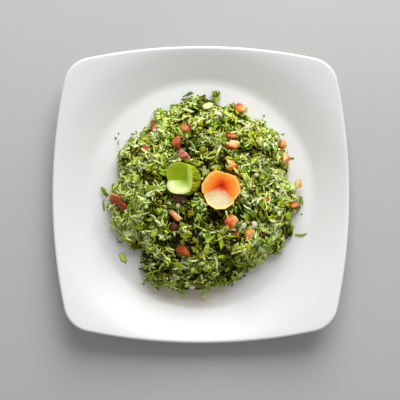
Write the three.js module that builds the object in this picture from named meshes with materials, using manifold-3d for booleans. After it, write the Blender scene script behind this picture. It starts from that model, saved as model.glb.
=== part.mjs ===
// Tabbouleh salad on a square white porcelain plate.
//
// Millimetres, +Z up. The origin is the middle of the plate's foot, on the table.
// The front of the plate is towards -Y.
//
// plate            porcelain: a round dish with a flat floor, cut off along a square rim, foot ring
// salad_heap       chopped parsley heap: a crumbly core with the larger pieces fused on
// carrot_cup       three-petal cup carved from a peeled carrot, leaning to the front
// cucumber_cup     three-petal cup carved from a cucumber end, leaning to the left
// stray_shred      one long shred that lies on the plate, right of the heap
// stray_leaf       one scrap of leaf that lies on the plate, left of the heap

import * as THREE from "three";
import { mergeVertices } from "three/addons/utils/BufferGeometryUtils.js";
import Module from "manifold-3d";

const wasm = await Module();
wasm.setup();

// ---------------------------------------------------------------- driving dimensions

const REST_GAP = 0.3; // clearance between pieces that rest on each other

// Plate
const PLATE_WIDTH = 260; // from the middle of one side to the middle of the other
const SIDE_ARC_RADIUS = 439; // each side of the rim bows out on this radius
const CORNER_RADIUS = 26;
const FLOOR_RADIUS = 96; // flat part of the round floor
const WALL_THICKNESS = 3.8;
const FOOT_HEIGHT = 2.7;
const FOOT_RADIUS = 78; // middle of the foot ring
const FOOT_WIDTH = 5;
const DISH_STEEPNESS = [
  // [distance from the middle, rise over run]: floor, even wall, then shallower corners
  [FLOOR_RADIUS, 0],
  [104, 0.54],
  [124, 0.54],
  [134, 0.38],
  [146, 0.29],
  [160, 0.26],
];
const PLATE_SIDES = 72;
const WALL_SHARES = [0, 0.12, 0.25, 0.5, 0.75, 1]; // mesh rows from the floor to the lip
const LIP_TURNS = [-45, 0, 45]; // points of the rounded lip, degrees up from level
const CORNER_CROWDING = 0.15; // draws the mesh lines together at the corners

// Salad heap
const HEAP_CENTRE = new THREE.Vector2(1.4, -1);
const HEAP_RADIUS = 84.3; // mean reach of the ragged outline
const HEAP_HEIGHT = 38;
const HEAP_FULLNESS = 2; // superellipse power: 2 is an ellipse, more is flatter on top
const FRINGE = 1; // how far loose pieces stand out of the core
const HEAP_RIPPLES = [
  // [waves round the heap, amplitude, phase in degrees]
  [2, 2, -125],
  [3, 1.7, 42],
  [4, 1.6, 37],
  [5, 1, 167],
  [7, 1.6, 85],
  [9, 0.9, 36],
  [12, 1.5, -6],
];
const DIP_DEPTH = 3; // hollow pressed in by the two carved cups
const DIP_RADIUS = 34;
const DIP_CENTRE = new THREE.Vector2(0, 9);
const CRUMB_RELIEF = 1.8; // height of the crumbs that roughen the core
const CLUMP_RELIEF = 1.2; // height of the broader clumps
const CORE_DETAIL = 12; // cuts of each edge of the icosahedron that the core starts from

// Carved cups
const CARROT = {
  name: "carrot_cup",
  edges: [20, 40, 105, 127, 165, 192, 228, 256, 283, 309, 355], // between peeled flats, degrees
  mouthRadius: 16.8,
  footRadius: 9,
  height: 29,
  shoulder: 19, // height at which the taper to the foot starts
  hollowFloor: 8, // height of the hollow's point above the foot
  petalSlope: 1.2, // rise of a petal's inner face over its run
  petalTurn: -12, // turns the three petals round the cup, degrees
  mouthCentre: new THREE.Vector3(16.5, 3.1, 57),
  lean: 13, // from upright, degrees
  leanTowards: 251, // direction of the lean from +X, degrees
};
const CUCUMBER = {
  name: "cucumber_cup",
  edges: Array.from({ length: 16 }, (_, i) => i * 22.5),
  mouthRadius: 13.6,
  footRadius: 9,
  height: 26,
  shoulder: 7,
  hollowFloor: 9,
  petalSlope: 1.15,
  petalTurn: -25,
  mouthCentre: new THREE.Vector3(-19.9, 14, 56),
  lean: 25,
  leanTowards: 170,
};

// Larger pieces that show in the heap: [x, y, length, width, thickness, turn in degrees]
const TOMATO_DICE = [
  [25, -22.4, 14, 10, 5, -65],
  [41, -34.5, 10, 8.5, 5, 20],
  [-16.3, -47.8, 11, 8.5, 5, 15],
  [-74.5, -4.3, 12, 9, 5, -10],
  [-12, 55.3, 9, 5.5, 4, 3],
  [-19.7, 44.9, 10, 7, 5, 60],
  [-47.3, 38.8, 11, 6, 4, -10],
  [35.4, 76, 12, 9.5, 5, 70],
  [26, 42.3, 10, 8, 5, -35],
  [26.8, 49.5, 11, 4, 3.5, 4],
  [71.4, 43.7, 8, 6, 5, 80],
  [70.4, 29.6, 9, 8, 5, 50],
  [25.4, 27, 11, 5, 4, -63],
  [81, 8.8, 11, 8, 5, 85],
  [77.2, -8.2, 8, 5.5, 4, 0],
  [-22, -18, 15, 6, 4, -41],
  [-41, 59, 7, 6, 4, 15],
  [73, -38.5, 7, 6, 4, 40],
  [29.2, -32.5, 7, 6, 4, -20],
  [-67.5, -9.2, 9, 6, 4, -50],
  [57.2, -3, 6, 5, 4, 20],
  [46.3, 59.6, 7, 6, 4, 25],
];
const ONION_DICE = [
  [-14.8, 33.6, 12, 7, 3, -35],
  [-19.5, -2.8, 13, 9, 3, -20],
  [68.3, 1.4, 7, 5, 3, 30],
  [14.5, 69.3, 8, 5.5, 3, -10],
  [-22.9, -27.8, 8, 6, 3, 60],
  [54.5, -34.9, 7, 4.5, 3, 80],
];
const DICE_UNEVENNESS = 0.9; // how far a corner of a dice is off, each way
const DICE_SINK = 0.25; // a dice's middle stands this share of its thickness above the dome

// Loose pieces that are spread over the heap: [least, most] of each measure, turns in radians
const SHREDS = {
  count: 72,
  length: [8, 14],
  width: [1.6, 3],
  bow: [0.6, 1.8],
  twist: [-0.35, 0.35],
  pitch: [0.25, 0.75],
  roll: [-0.4, 0.4],
  lift: 0.9,
};
const LEAF_SCRAPS = {
  count: 24,
  length: [9, 14],
  width: [5, 8],
  cup: [0, 0.8],
  wave: [0.5, 1.2],
  pitch: [0.2, 0.55],
  lift: 1.2,
};
const LEAF_THICKNESS = 0.8;

// Pieces that fell on the plate: their middle, and the turn of their length, in degrees
const STRAY_SHRED = { x: 89.1, y: -35, turn: 4, length: 12, width: 2, bow: 0.5 };
const STRAY_LEAF = { x: -69.5, y: -55.2, turn: -62, length: 12, width: 5.5, cup: 0.5 };

// ---------------------------------------------------------------- helpers

const { cos, sin, atan, sqrt, pow, hypot, atan2, max, min, PI } = Math;
const degrees = THREE.MathUtils.degToRad;

/** A seeded random number generator, so that each build is the same. */
function seededRandom(seed) {
  let state = seed;
  return () => {
    state = (state + 0x6d2b79f5) | 0;
    let t = Math.imul(state ^ (state >>> 15), 1 | state);
    t = (t + Math.imul(t ^ (t >>> 7), 61 | t)) ^ t;
    return ((t ^ (t >>> 14)) >>> 0) / 4294967296;
  };
}

/** A random value in a range. */
function pick(random, [least, most]) {
  return least + (most - least) * random();
}

/** Moves each vertex of a geometry by a function that changes the vector it is given. */
function moveVertices(geometry, move) {
  const position = geometry.getAttribute("position");
  const point = new THREE.Vector3();
  for (let i = 0; i < position.count; i++) {
    point.fromBufferAttribute(position, i);
    move(point);
    position.setXYZ(i, point.x, point.y, point.z);
  }
  return geometry;
}

/** Leaves only positions, with the vertices that share a place made one. */
function weld(geometry) {
  geometry.deleteAttribute("normal");
  geometry.deleteAttribute("uv");
  return mergeVertices(geometry, 1e-4);
}

/** A closed geometry as a solid that can be joined and cut. */
function toSolid(geometry) {
  const welded = weld(geometry);
  return new wasm.Manifold(
    new wasm.Mesh({
      numProp: 3,
      vertProperties: new Float32Array(welded.attributes.position.array),
      triVerts: new Uint32Array(welded.index.array),
    }),
  );
}

function toGeometry(solid) {
  const { vertProperties, triVerts } = solid.getMesh();
  const geometry = new THREE.BufferGeometry();
  geometry.setAttribute("position", new THREE.BufferAttribute(vertProperties, 3));
  geometry.setIndex(new THREE.BufferAttribute(triVerts, 1));
  geometry.computeVertexNormals();
  return geometry;
}

/** The largest closed body of a solid: drops loose scraps and fills sealed hollows. */
function mainBody(solid) {
  return solid.decompose().reduce((a, b) => (b.volume() > a.volume() ? b : a));
}

/** A body turned round +Z from profile points [radius, height], with an edge towards +X. */
function turned(profile, sides) {
  const points = profile.map(([radius, height]) => new THREE.Vector2(radius, height));
  return new THREE.LatheGeometry(points, sides, PI / 2).rotateX(PI / 2);
}

/** A named piece of the model. */
function part(name, geometry, color, roughness) {
  const material = new THREE.MeshStandardMaterial({ color, roughness, metalness: 0 });
  const mesh = new THREE.Mesh(geometry, material);
  mesh.name = name;
  return mesh;
}

// ---------------------------------------------------------------- plate

/**
 * Distance from the plate's middle to the rim in a direction: a side is an arc that bows out,
 * and a corner is a small arc that joins two sides smoothly.
 */
function rimReach(angle) {
  const halfWidth = PLATE_WIDTH / 2;
  const sideCentre = halfWidth - SIDE_ARC_RADIUS;
  const fromSide = ((angle % (PI / 2)) + PI / 2) % (PI / 2);
  const folded = min(fromSide, PI / 2 - fromSide);
  // The corner arc's centre (c, c) lies SIDE_ARC_RADIUS - CORNER_RADIUS from the side's centre.
  const apart = SIDE_ARC_RADIUS - CORNER_RADIUS;
  const cornerCentre = (sideCentre + sqrt(2 * apart * apart - sideCentre * sideCentre)) / 2;
  const joint = atan2(cornerCentre, cornerCentre - sideCentre);
  const jointX = sideCentre + SIDE_ARC_RADIUS * cos(joint);
  const jointY = SIDE_ARC_RADIUS * sin(joint);
  if (folded <= atan2(jointY, jointX)) {
    return rayToCircle(folded, sideCentre, 0, SIDE_ARC_RADIUS);
  }
  return rayToCircle(folded, cornerCentre, cornerCentre, CORNER_RADIUS);
}

/** How far a ray from the origin runs to the far side of a circle. */
function rayToCircle(angle, x, y, radius) {
  const along = x * cos(angle) + y * sin(angle);
  return along + sqrt(radius * radius - x * x - y * y + along * along);
}

const FLOOR_TOP = FOOT_HEIGHT + WALL_THICKNESS;

/** Height and steepness of the inner surface at a distance from the middle. */
function dish(radius) {
  let [from, steepness] = DISH_STEEPNESS[0];
  let height = FLOOR_TOP;
  for (const [to, next] of DISH_STEEPNESS.slice(1)) {
    const reached = min(max(radius, from), to);
    const there = steepness + ((next - steepness) * (reached - from)) / (to - from);
    height += ((steepness + there) / 2) * (reached - from);
    if (radius < to) {
      return { height, steepness: there };
    }
    [from, steepness] = [to, next];
  }
  return { height, steepness };
}

const LIP_RADIUS = WALL_THICKNESS / 2;
const WALL_END = PLATE_WIDTH / 2 - LIP_RADIUS; // where the lip starts in the flat section

/** The plate's section as if its wall lay flat: [radius, height above the top side]. */
function flatSection() {
  const wall = WALL_SHARES.map((share) => FLOOR_RADIUS + share * (WALL_END - FLOOR_RADIUS));
  const footInside = FOOT_RADIUS - FOOT_WIDTH / 2;
  const footOutside = FOOT_RADIUS + FOOT_WIDTH / 2;
  const lip = LIP_TURNS.map(degrees).map((turn) => [
    WALL_END + LIP_RADIUS * cos(turn),
    LIP_RADIUS * (sin(turn) - 1),
  ]);
  return [
    [0, -WALL_THICKNESS],
    [footInside - 1, -WALL_THICKNESS],
    [footInside, -FLOOR_TOP],
    [footOutside, -FLOOR_TOP],
    [footOutside + 1, -WALL_THICKNESS],
    ...wall.map((radius) => [radius, -WALL_THICKNESS]),
    ...lip,
    ...wall.map((radius) => [radius, 0]).reverse(),
    [0, 0],
  ];
}

/**
 * A round dish that is cut off along the square outline: each ray of the flat section is drawn
 * out to its own length, and then bent up square to the dish.
 */
function plate() {
  const geometry = moveVertices(turned(flatSection(), PLATE_SIDES), (p) => {
    const radius = hypot(p.x, p.y);
    const share = min(max((radius - FLOOR_RADIUS) / (WALL_END - FLOOR_RADIUS), 0), 1);
    const around = atan2(p.y, p.x);
    const angle = around + share * CORNER_CROWDING * sin(4 * around);
    const reach = rimReach(angle);
    const rimSlope = atan(dish(reach).steepness);
    const end = reach - LIP_RADIUS * (1 + sin(rimSlope));
    const drawn = radius + share * (end - WALL_END);
    const { height, steepness } = dish(drawn);
    const slope = atan(steepness);
    const out = drawn - p.z * sin(slope);
    p.set(out * cos(angle), out * sin(angle), height + p.z * cos(slope));
  });
  return part("plate", geometry, 0xf4f3f0, 0.18);
}

// ---------------------------------------------------------------- carved cups

/** Places a cup that stands on the origin: leans it, and brings its mouth to its place. */
function leanCup(geometry, cup) {
  const direction = degrees(cup.leanTowards);
  const hinge = new THREE.Vector3(-sin(direction), cos(direction), 0);
  const lean = new THREE.Quaternion().setFromAxisAngle(hinge, degrees(cup.lean));
  const axis = new THREE.Vector3(0, 0, cup.height).applyQuaternion(lean);
  const foot = cup.mouthCentre.clone().sub(axis);
  return geometry.applyMatrix4(
    new THREE.Matrix4().compose(foot, lean, new THREE.Vector3(1, 1, 1)),
  );
}

/** The uncut stub of vegetable, grown by a clearance where it has to fit into something. */
function stub(cup, clearance) {
  const profile = [
    [0, -clearance],
    [cup.footRadius + clearance, -clearance],
    [cup.mouthRadius + clearance, cup.shoulder],
    [cup.mouthRadius + clearance, cup.height + clearance],
    [0, cup.height + clearance],
  ];
  const sides = cup.edges.length;
  const body = moveVertices(turned(profile, sides), (p) => {
    const edge = Math.round((atan2(p.y, p.x) * sides) / (2 * PI) + sides) % sides;
    const angle = degrees(cup.edges[edge]);
    const radius = hypot(p.x, p.y);
    p.set(radius * cos(angle), radius * sin(angle), p.z);
  });
  return leanCup(body, cup);
}

/** Three knife cuts that meet in a point, as an upside-down pyramid that stands out on top. */
function hollow(cup) {
  const rise = cup.height - cup.hollowFloor + 6;
  const reach = (2 * rise) / cup.petalSlope; // from the pyramid's axis to its corners
  const pyramid = new THREE.ConeGeometry(reach, rise, 3)
    .rotateX(-PI / 2)
    .rotateZ(degrees(cup.petalTurn))
    .translate(0, 0, cup.hollowFloor + rise / 2);
  return leanCup(pyramid, cup);
}

function carvedCup(cup, color) {
  const carved = toSolid(stub(cup, 0)).subtract(toSolid(hollow(cup)));
  return part(cup.name, toGeometry(mainBody(carved)), color, 0.4);
}

// ---------------------------------------------------------------- salad heap

const HEAP_BASE = FLOOR_TOP + REST_GAP;

function heapReach(angle) {
  const ripple = HEAP_RIPPLES.reduce(
    (sum, [waves, amplitude, phase]) => sum + amplitude * cos(waves * angle + degrees(phase)),
    0,
  );
  return HEAP_RADIUS - FRINGE + ripple;
}

/** How deep the cups press into the top at a place. */
function dip(x, y) {
  const away = hypot(x - DIP_CENTRE.x, y - DIP_CENTRE.y) / DIP_RADIUS;
  return away < 1 ? DIP_DEPTH * pow(1 - away * away, 2) : 0;
}

/** A point of the smooth dome, at a share of the way from its middle to its outline. */
function domePoint(angle, share) {
  const radius = heapReach(angle) * share;
  const x = HEAP_CENTRE.x + radius * cos(angle);
  const y = HEAP_CENTRE.y + radius * sin(angle);
  const rise = pow(max(0, 1 - pow(share, HEAP_FULLNESS)), 1 / HEAP_FULLNESS);
  return new THREE.Vector3(x, y, HEAP_BASE + HEAP_HEIGHT * rise - dip(x, y));
}

/** The dome's outward direction, from two short steps along it. */
function domeNormal(angle, share) {
  const step = 0.01;
  const from = min(max(share, step), 1 - 2 * step);
  const here = domePoint(angle, from);
  const out = domePoint(angle, from + step).sub(here);
  const round = domePoint(angle + step, from).sub(here);
  return out.cross(round).normalize();
}

/** The angle and share of the dome above a place on the plate. */
function domeAbove(x, y) {
  const angle = atan2(y - HEAP_CENTRE.y, x - HEAP_CENTRE.x);
  const away = hypot(x - HEAP_CENTRE.x, y - HEAP_CENTRE.y);
  return [angle, min(away / heapReach(angle), 0.985)];
}

/** Broad clumps, from -1 to 1, as two crossing waves. */
function clumps(x, y) {
  return (sin(0.19 * x + 1) * sin(0.17 * y + 2) + sin(0.11 * (x + y))) / 2;
}

/** The core: a ball drawn to the dome above and the flat base below, roughened all over. */
function heapCore() {
  const random = seededRandom(11);
  return moveVertices(weld(new THREE.IcosahedronGeometry(1, CORE_DETAIL)), (p) => {
    const angle = atan2(p.y, p.x);
    const share = min(1, hypot(p.x, p.y));
    const above = p.z > 0;
    p.copy(domePoint(angle, share));
    if (above) {
      const relief = CRUMB_RELIEF * (2 * random() - 1) + CLUMP_RELIEF * clumps(p.x, p.y);
      p.addScaledVector(domeNormal(angle, share), relief);
    }
    p.z = above ? max(p.z, HEAP_BASE) : HEAP_BASE;
  });
}

/**
 * A thin solid with a grid on each face: middle(along, across) gives the place and facing of
 * its middle surface, with along and across from -1 to 1. Both faces are split alike.
 */
function thinSolid(middle, alongSteps, acrossSteps, thickness) {
  const positions = [];
  const faces = [];
  const row = acrossSteps + 1;
  const layer = (alongSteps + 1) * row;
  for (const side of [1, -1]) {
    for (let i = 0; i <= alongSteps; i++) {
      for (let j = 0; j <= acrossSteps; j++) {
        const { place, facing } = middle((2 * i) / alongSteps - 1, (2 * j) / acrossSteps - 1);
        place.addScaledVector(facing, (side * thickness) / 2);
        positions.push(place.x, place.y, place.z);
      }
    }
  }
  for (let i = 0; i < alongSteps; i++) {
    for (let j = 0; j < acrossSteps; j++) {
      const [a, b, c, d] = [i * row + j, (i + 1) * row + j, (i + 1) * row + j + 1, i * row + j + 1];
      faces.push(a, b, c, a, c, d);
      faces.push(layer + a, layer + c, layer + b, layer + a, layer + d, layer + c);
    }
  }
  const wall = (a, b) => faces.push(b, a, layer + a, b, layer + a, layer + b);
  for (let i = 0; i < alongSteps; i++) {
    wall(i * row, (i + 1) * row);
    wall((i + 1) * row + acrossSteps, i * row + acrossSteps);
  }
  for (let j = 0; j < acrossSteps; j++) {
    wall(alongSteps * row + j, alongSteps * row + j + 1);
    wall(j + 1, j);
  }
  const geometry = new THREE.BufferGeometry();
  geometry.setAttribute("position", new THREE.Float32BufferAttribute(positions, 3));
  geometry.setIndex(faces);
  return geometry;
}

/** A shred of leaf: a bowed strip that narrows to its ends. */
function shred({ length, width, bow, twist = 0 }) {
  return thinSolid(
    (along, across) => {
      const half = (width / 2) * (0.55 + 0.45 * sqrt(max(0, 1 - along * along)));
      const roll = twist * along;
      const place = new THREE.Vector3(
        (along * length) / 2,
        across * half * cos(roll),
        bow * (1 - along * along) + across * half * sin(roll),
      );
      return { place, facing: new THREE.Vector3(0, -sin(roll), cos(roll)) };
    },
    4,
    1,
    LEAF_THICKNESS,
  );
}

/** A scrap of leaf: a wavy oval with blunt ends, cupped along its middle vein. */
function leafScrap({ length, width, cup, wave = 0 }) {
  return thinSolid(
    (along, across) => {
      const half = (width / 2) * (0.25 + 0.75 * sqrt(max(0, 1 - along * along)));
      const place = new THREE.Vector3(
        (along * length) / 2,
        across * half,
        cup * across * across + wave * sin(2.4 * along + 1.3 * across),
      );
      return { place, facing: new THREE.Vector3(0, 0, 1) };
    },
    4,
    2,
    LEAF_THICKNESS,
  );
}

/** A hand-cut dice: a box whose corners are each a little off. */
function dice(length, width, thickness, random) {
  const off = () => pick(random, [-DICE_UNEVENNESS, DICE_UNEVENNESS]);
  const offsets = Array.from({ length: 8 }, () => new THREE.Vector3(off(), off(), off()));
  const geometry = new THREE.BoxGeometry(length, width, thickness);
  return moveVertices(geometry, (p) => {
    const corner = (p.x > 0 ? 1 : 0) + (p.y > 0 ? 2 : 0) + (p.z > 0 ? 4 : 0);
    p.add(offsets[corner]);
  });
}

/** Lays a piece on the dome: its own +Z follows the surface, tipped by pitch and turned. */
function layOnDome(geometry, angle, share, { turn, pitch = 0, roll = 0, lift = 0 }) {
  const facing = domeNormal(angle, share);
  const flat = new THREE.Quaternion().setFromUnitVectors(new THREE.Vector3(0, 0, 1), facing);
  const own = new THREE.Quaternion().setFromEuler(new THREE.Euler(roll, pitch, turn, "ZYX"));
  const place = domePoint(angle, share).addScaledVector(facing, lift);
  const size = new THREE.Vector3(1, 1, 1);
  return geometry.applyMatrix4(new THREE.Matrix4().compose(place, flat.multiply(own), size));
}

/** Whether a piece would reach into the plate, or lie under or inside a carved cup. */
function crossesNeighbour(geometry) {
  geometry.computeBoundingBox();
  const middle = geometry.boundingBox.getCenter(new THREE.Vector3());
  const underCup = [CARROT, CUCUMBER].some((cup) => {
    const away = hypot(middle.x - cup.mouthCentre.x, middle.y - cup.mouthCentre.y);
    return away < cup.mouthRadius + 1;
  });
  return geometry.boundingBox.min.z < HEAP_BASE || underCup;
}

/** Dice at their places, with their upper half out of the core. */
function dicePieces(list, random) {
  return list.map(([x, y, length, width, thickness, turn]) => {
    const [angle, share] = domeAbove(x, y);
    return layOnDome(dice(length, width, thickness, random), angle, share, {
      turn: degrees(turn),
      pitch: pick(random, [-0.25, 0.25]),
      lift: DICE_SINK * thickness,
    });
  });
}

/** Pieces spread evenly over the dome, as seeds are in a sunflower, each varied by make(). */
function scattered(count, firstTurn, make) {
  const goldenAngle = PI * (3 - sqrt(5));
  return Array.from({ length: count }, (_, i) => {
    const down = (i + 0.5) / count;
    return make(firstTurn + i * goldenAngle, 0.99 * sqrt(down * (2 - down)));
  });
}

function shredPieces(random) {
  return scattered(SHREDS.count, 0.4, (angle, share) => {
    const strip = shred({
      length: pick(random, SHREDS.length),
      width: pick(random, SHREDS.width),
      bow: pick(random, SHREDS.bow),
      twist: pick(random, SHREDS.twist),
    });
    return layOnDome(strip, angle, share, {
      turn: 2 * PI * random(),
      pitch: pick(random, SHREDS.pitch),
      roll: pick(random, SHREDS.roll),
      lift: SHREDS.lift,
    });
  });
}

function leafPieces(random) {
  return scattered(LEAF_SCRAPS.count, 2.1, (angle, share) => {
    const scrap = leafScrap({
      length: pick(random, LEAF_SCRAPS.length),
      width: pick(random, LEAF_SCRAPS.width),
      cup: pick(random, LEAF_SCRAPS.cup),
      wave: pick(random, LEAF_SCRAPS.wave),
    });
    return layOnDome(scrap, angle, share, {
      turn: 2 * PI * random(),
      pitch: pick(random, LEAF_SCRAPS.pitch),
      lift: LEAF_SCRAPS.lift,
    });
  });
}

/** The heap: the core with its pieces fused on, and a seat cut out for each carved cup. */
function saladHeap() {
  const random = seededRandom(5);
  const pieces = [
    ...dicePieces(TOMATO_DICE, random),
    ...dicePieces(ONION_DICE, random),
    ...leafPieces(random),
    ...shredPieces(random),
  ].filter((piece) => !crossesNeighbour(piece));
  const fused = pieces.map(toSolid).reduce((heap, piece) => heap.add(piece), toSolid(heapCore()));
  const seats = [CARROT, CUCUMBER].map((cup) => toSolid(stub(cup, REST_GAP)));
  const seated = seats.reduce((heap, seat) => heap.subtract(seat), fused);
  return part("salad_heap", toGeometry(mainBody(seated)), 0x6f7a2c, 0.7);
}

// ---------------------------------------------------------------- strays on the plate

/** Lets a thin piece settle on the plate, so that its underside follows the dish. */
function settleOnPlate(geometry, { x, y, turn }) {
  geometry.rotateZ(degrees(turn)).translate(x, y, 0);
  return moveVertices(geometry, (p) => {
    p.z += dish(hypot(p.x, p.y)).height + REST_GAP + LEAF_THICKNESS / 2;
  });
}

// ---------------------------------------------------------------- the dish as served

const tabbouleh = new THREE.Group();
tabbouleh.add(plate());
tabbouleh.add(saladHeap());
tabbouleh.add(carvedCup(CARROT, 0xf08a2c));
tabbouleh.add(carvedCup(CUCUMBER, 0xa9c24a));
tabbouleh.add(part("stray_shred", settleOnPlate(shred(STRAY_SHRED), STRAY_SHRED), 0x6f7a3a, 0.7));
tabbouleh.add(part("stray_leaf", settleOnPlate(leafScrap(STRAY_LEAF), STRAY_LEAF), 0x87904a, 0.7));

export default tabbouleh;
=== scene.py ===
# %% [markdown]
# # Tabbouleh on a square plate
# This lesson dresses a measured model of one served dish: a heap of chopped parsley with tomato,
# red onion and cracked wheat, two carved vegetable cups on top, and the porcelain plate below.
# Such a salad could be a bumpy dome with a painted pattern, but then every side view gives it
# away. Here it is thousands of thin, closed, true-sized pieces, and numpy works them all out.

import bpy
import numpy as np
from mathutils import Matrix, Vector


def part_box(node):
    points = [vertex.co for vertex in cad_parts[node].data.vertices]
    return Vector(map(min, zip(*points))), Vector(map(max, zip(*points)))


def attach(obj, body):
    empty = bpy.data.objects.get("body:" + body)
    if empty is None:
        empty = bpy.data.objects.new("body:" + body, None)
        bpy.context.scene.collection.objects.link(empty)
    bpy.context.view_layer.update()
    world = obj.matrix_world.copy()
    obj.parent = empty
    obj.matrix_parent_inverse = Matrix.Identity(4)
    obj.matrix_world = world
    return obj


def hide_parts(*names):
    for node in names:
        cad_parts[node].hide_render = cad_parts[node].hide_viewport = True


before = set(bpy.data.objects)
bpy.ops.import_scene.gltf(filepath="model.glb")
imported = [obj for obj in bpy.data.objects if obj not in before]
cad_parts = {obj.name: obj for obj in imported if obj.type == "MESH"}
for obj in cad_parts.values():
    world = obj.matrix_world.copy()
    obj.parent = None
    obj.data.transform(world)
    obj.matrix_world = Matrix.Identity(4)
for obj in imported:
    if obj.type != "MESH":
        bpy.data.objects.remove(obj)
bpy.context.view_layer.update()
MM = 0.001  # shapes are worked out in millimetres, and Blender's unit is the metre
print("measured nodes:", ", ".join(sorted(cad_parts)))

# %% [markdown]
# Everything here is a closed shape of one plan: a first pole, rows of points that each close
# into a ring, and a last pole. A plate, a grain of wheat and a shred of leaf differ only in the
# formula that places the points, so one function can number the faces of them all.

# %% Faces of a closed shape
def ring_faces(rows, columns):
    """Quads between neighbouring rings, and a fan of triangles round each pole."""
    row, column = np.meshgrid(np.arange(rows - 1), np.arange(columns), indexing="ij")
    here = 1 + row * columns + column
    beside = 1 + row * columns + (column + 1) % columns
    sides = np.stack([here, beside, beside + columns, here + columns], axis=-1).reshape(-1, 4)
    this = 1 + np.arange(columns)
    following = 1 + (np.arange(columns) + 1) % columns
    top = (rows - 1) * columns
    first = np.stack([0 * this, following, this], axis=-1)
    last = np.stack([0 * this + 1 + rows * columns, top + this, top + following], axis=-1)
    return [sides, first, last]


def copies_of(groups, copies, size):
    """The faces of many copies of a shape, when the points of one copy follow another's."""
    starts = size * np.arange(copies)[:, None, None]
    return [(group[None] + starts).reshape(-1, group.shape[1]) for group in groups]


print("a shred of 5 rings of 4 points has", sum(len(g) for g in ring_faces(5, 4)), "faces")

# %% From arrays to a piece
def build(name, points, faces, material, node, slot, crisp=False, **attributes):
    """A piece from points in millimetres, which rides on the dish and stands for a node.

    Its faces are shaded into each other, or, for crisp pieces, each on its own.
    """
    corners = np.concatenate([group.ravel() for group in faces])
    sizes = np.concatenate([np.full(len(group), group.shape[1]) for group in faces])
    mesh = bpy.data.meshes.new(name)
    mesh.vertices.add(len(points))
    mesh.vertices.foreach_set("co", (points * MM).astype(np.float32).ravel())
    mesh.loops.add(len(corners))
    mesh.loops.foreach_set("vertex_index", corners.astype(np.int32))
    mesh.polygons.add(len(sizes))
    mesh.polygons.foreach_set("loop_start", (np.cumsum(sizes) - sizes).astype(np.int32))
    mesh.update(calc_edges=True)
    for label, values in attributes.items():
        kind, key = ("FLOAT", "value") if values.ndim == 1 else ("FLOAT_VECTOR", "vector")
        layer = mesh.attributes.new(label, kind, "POINT")
        layer.data.foreach_set(key, values.astype(np.float32).ravel())
    if not crisp:
        mesh.shade_smooth()
    mesh.materials.append(material)
    piece = bpy.data.objects.new(name, mesh)
    bpy.context.scene.collection.objects.link(piece)
    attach(piece, "root")
    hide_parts(node)
    print(f"{name}: {int((sizes - 2).sum())} triangles")


def build_kind(name, pieces, faces, material, crisp=False, **attributes):
    """All pieces of one kind in the heap, made as one: each gets a copy of the same faces."""
    count, size = pieces.shape[:2]
    faces = copies_of(faces, count, size)
    stored = {label: values.ravel() for label, values in attributes.items()}
    build(name, pieces.reshape(-1, 3), faces, material, "salad_heap", "salad", crisp, **stored)


print("pieces are made in millimetres, and", 1 / MM, "of them are one of Blender's units")

# %% [markdown]
# A finish is a small graph of nodes. Most of the colour here comes from a number stored on the
# points, such as how pale a shred is, and a colour ramp turns that number into a colour. A little
# noise breaks it up, and the same noise lifts the surface slightly as bump.

# %% Finishes as small node graphs
class Finish:
    """A material with its main shader, and short ways to add and join nodes."""

    def __init__(self, name, **sockets):
        self.material = bpy.data.materials.new(name)
        self.material.use_nodes = True
        self.tree = self.material.node_tree
        self.shader = self.tree.nodes["Principled BSDF"]
        for label, value in sockets.items():
            self.shader.inputs[label.replace("_", " ")].default_value = value

    def node(self, kind, **settings):
        """A node whose settings are its properties or, where it has none so named, its inputs."""
        made = self.tree.nodes.new("ShaderNode" + kind)
        for label, value in settings.items():
            if hasattr(made, label):
                setattr(made, label, value)
            else:
                made.inputs[label.replace("_", " ")].default_value = value
        return made

    def join(self, output, target):
        """A link from an output to an input."""
        self.tree.links.new(output, target)

    def stored(self, label, output="Fac"):
        """The value that the points of the mesh carry under a name."""
        return self.node("Attribute", attribute_name=label).outputs[output]

    def ramp(self, value, *stops):
        """A colour for each value from 0 to 1: stops are (value, red, green, blue)."""
        made = self.node("ValToRGB")
        elements = made.color_ramp.elements
        elements.remove(elements[1])
        elements[0].position, elements[0].color = stops[0][0], (*stops[0][1:], 1)
        for place, *colour in stops[1:]:
            elements.new(place).color = (*colour, 1)
        self.join(value, made.inputs["Fac"])
        return made.outputs["Color"]

    def noise(self, scale, detail=3, vector=None, roughness=0.55):
        """Cloudy noise from 0 to 1, with scale in ripples per metre of the object."""
        made = self.node("TexNoise", Scale=scale, Detail=detail, Roughness=roughness)
        place = vector or self.node("TexCoord").outputs["Object"]
        self.join(place, made.inputs["Vector"])
        return made.outputs["Fac"]

    def math(self, operation, first, second):
        """Two values, or a value and a number, put through a sum."""
        made = self.node("Math", operation=operation)
        for place, value in enumerate((first, second)):
            if isinstance(value, (int, float)):
                made.inputs[place].default_value = value
            else:
                self.join(value, made.inputs[place])
        return made.outputs["Value"]

    def blend(self, share, first, second, mode="MIX"):
        """Two colours mixed by a share from 0 to 1."""
        made = self.node("Mix", data_type="RGBA", blend_type=mode)
        for place, value in ((0, share), (6, first), (7, second)):
            if isinstance(value, (int, float)):
                made.inputs[place].default_value = value
            elif isinstance(value, tuple):
                made.inputs[place].default_value = (*value, 1)
            else:
                self.join(value, made.inputs[place])
        return made.outputs[2]

    def colour(self, value):
        """The surface's own colour."""
        self.join(value, self.shader.inputs["Base Color"])

    def relief(self, height, depth):
        """Bump of a depth in metres from a height of 0 to 1."""
        made = self.node("Bump", Distance=depth, Strength=1.0)
        self.join(height, made.inputs["Height"])
        self.join(made.outputs["Normal"], self.shader.inputs["Normal"])


print("a finish can use:", ", ".join(name for name in vars(Finish) if not name.startswith("_")))

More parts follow.
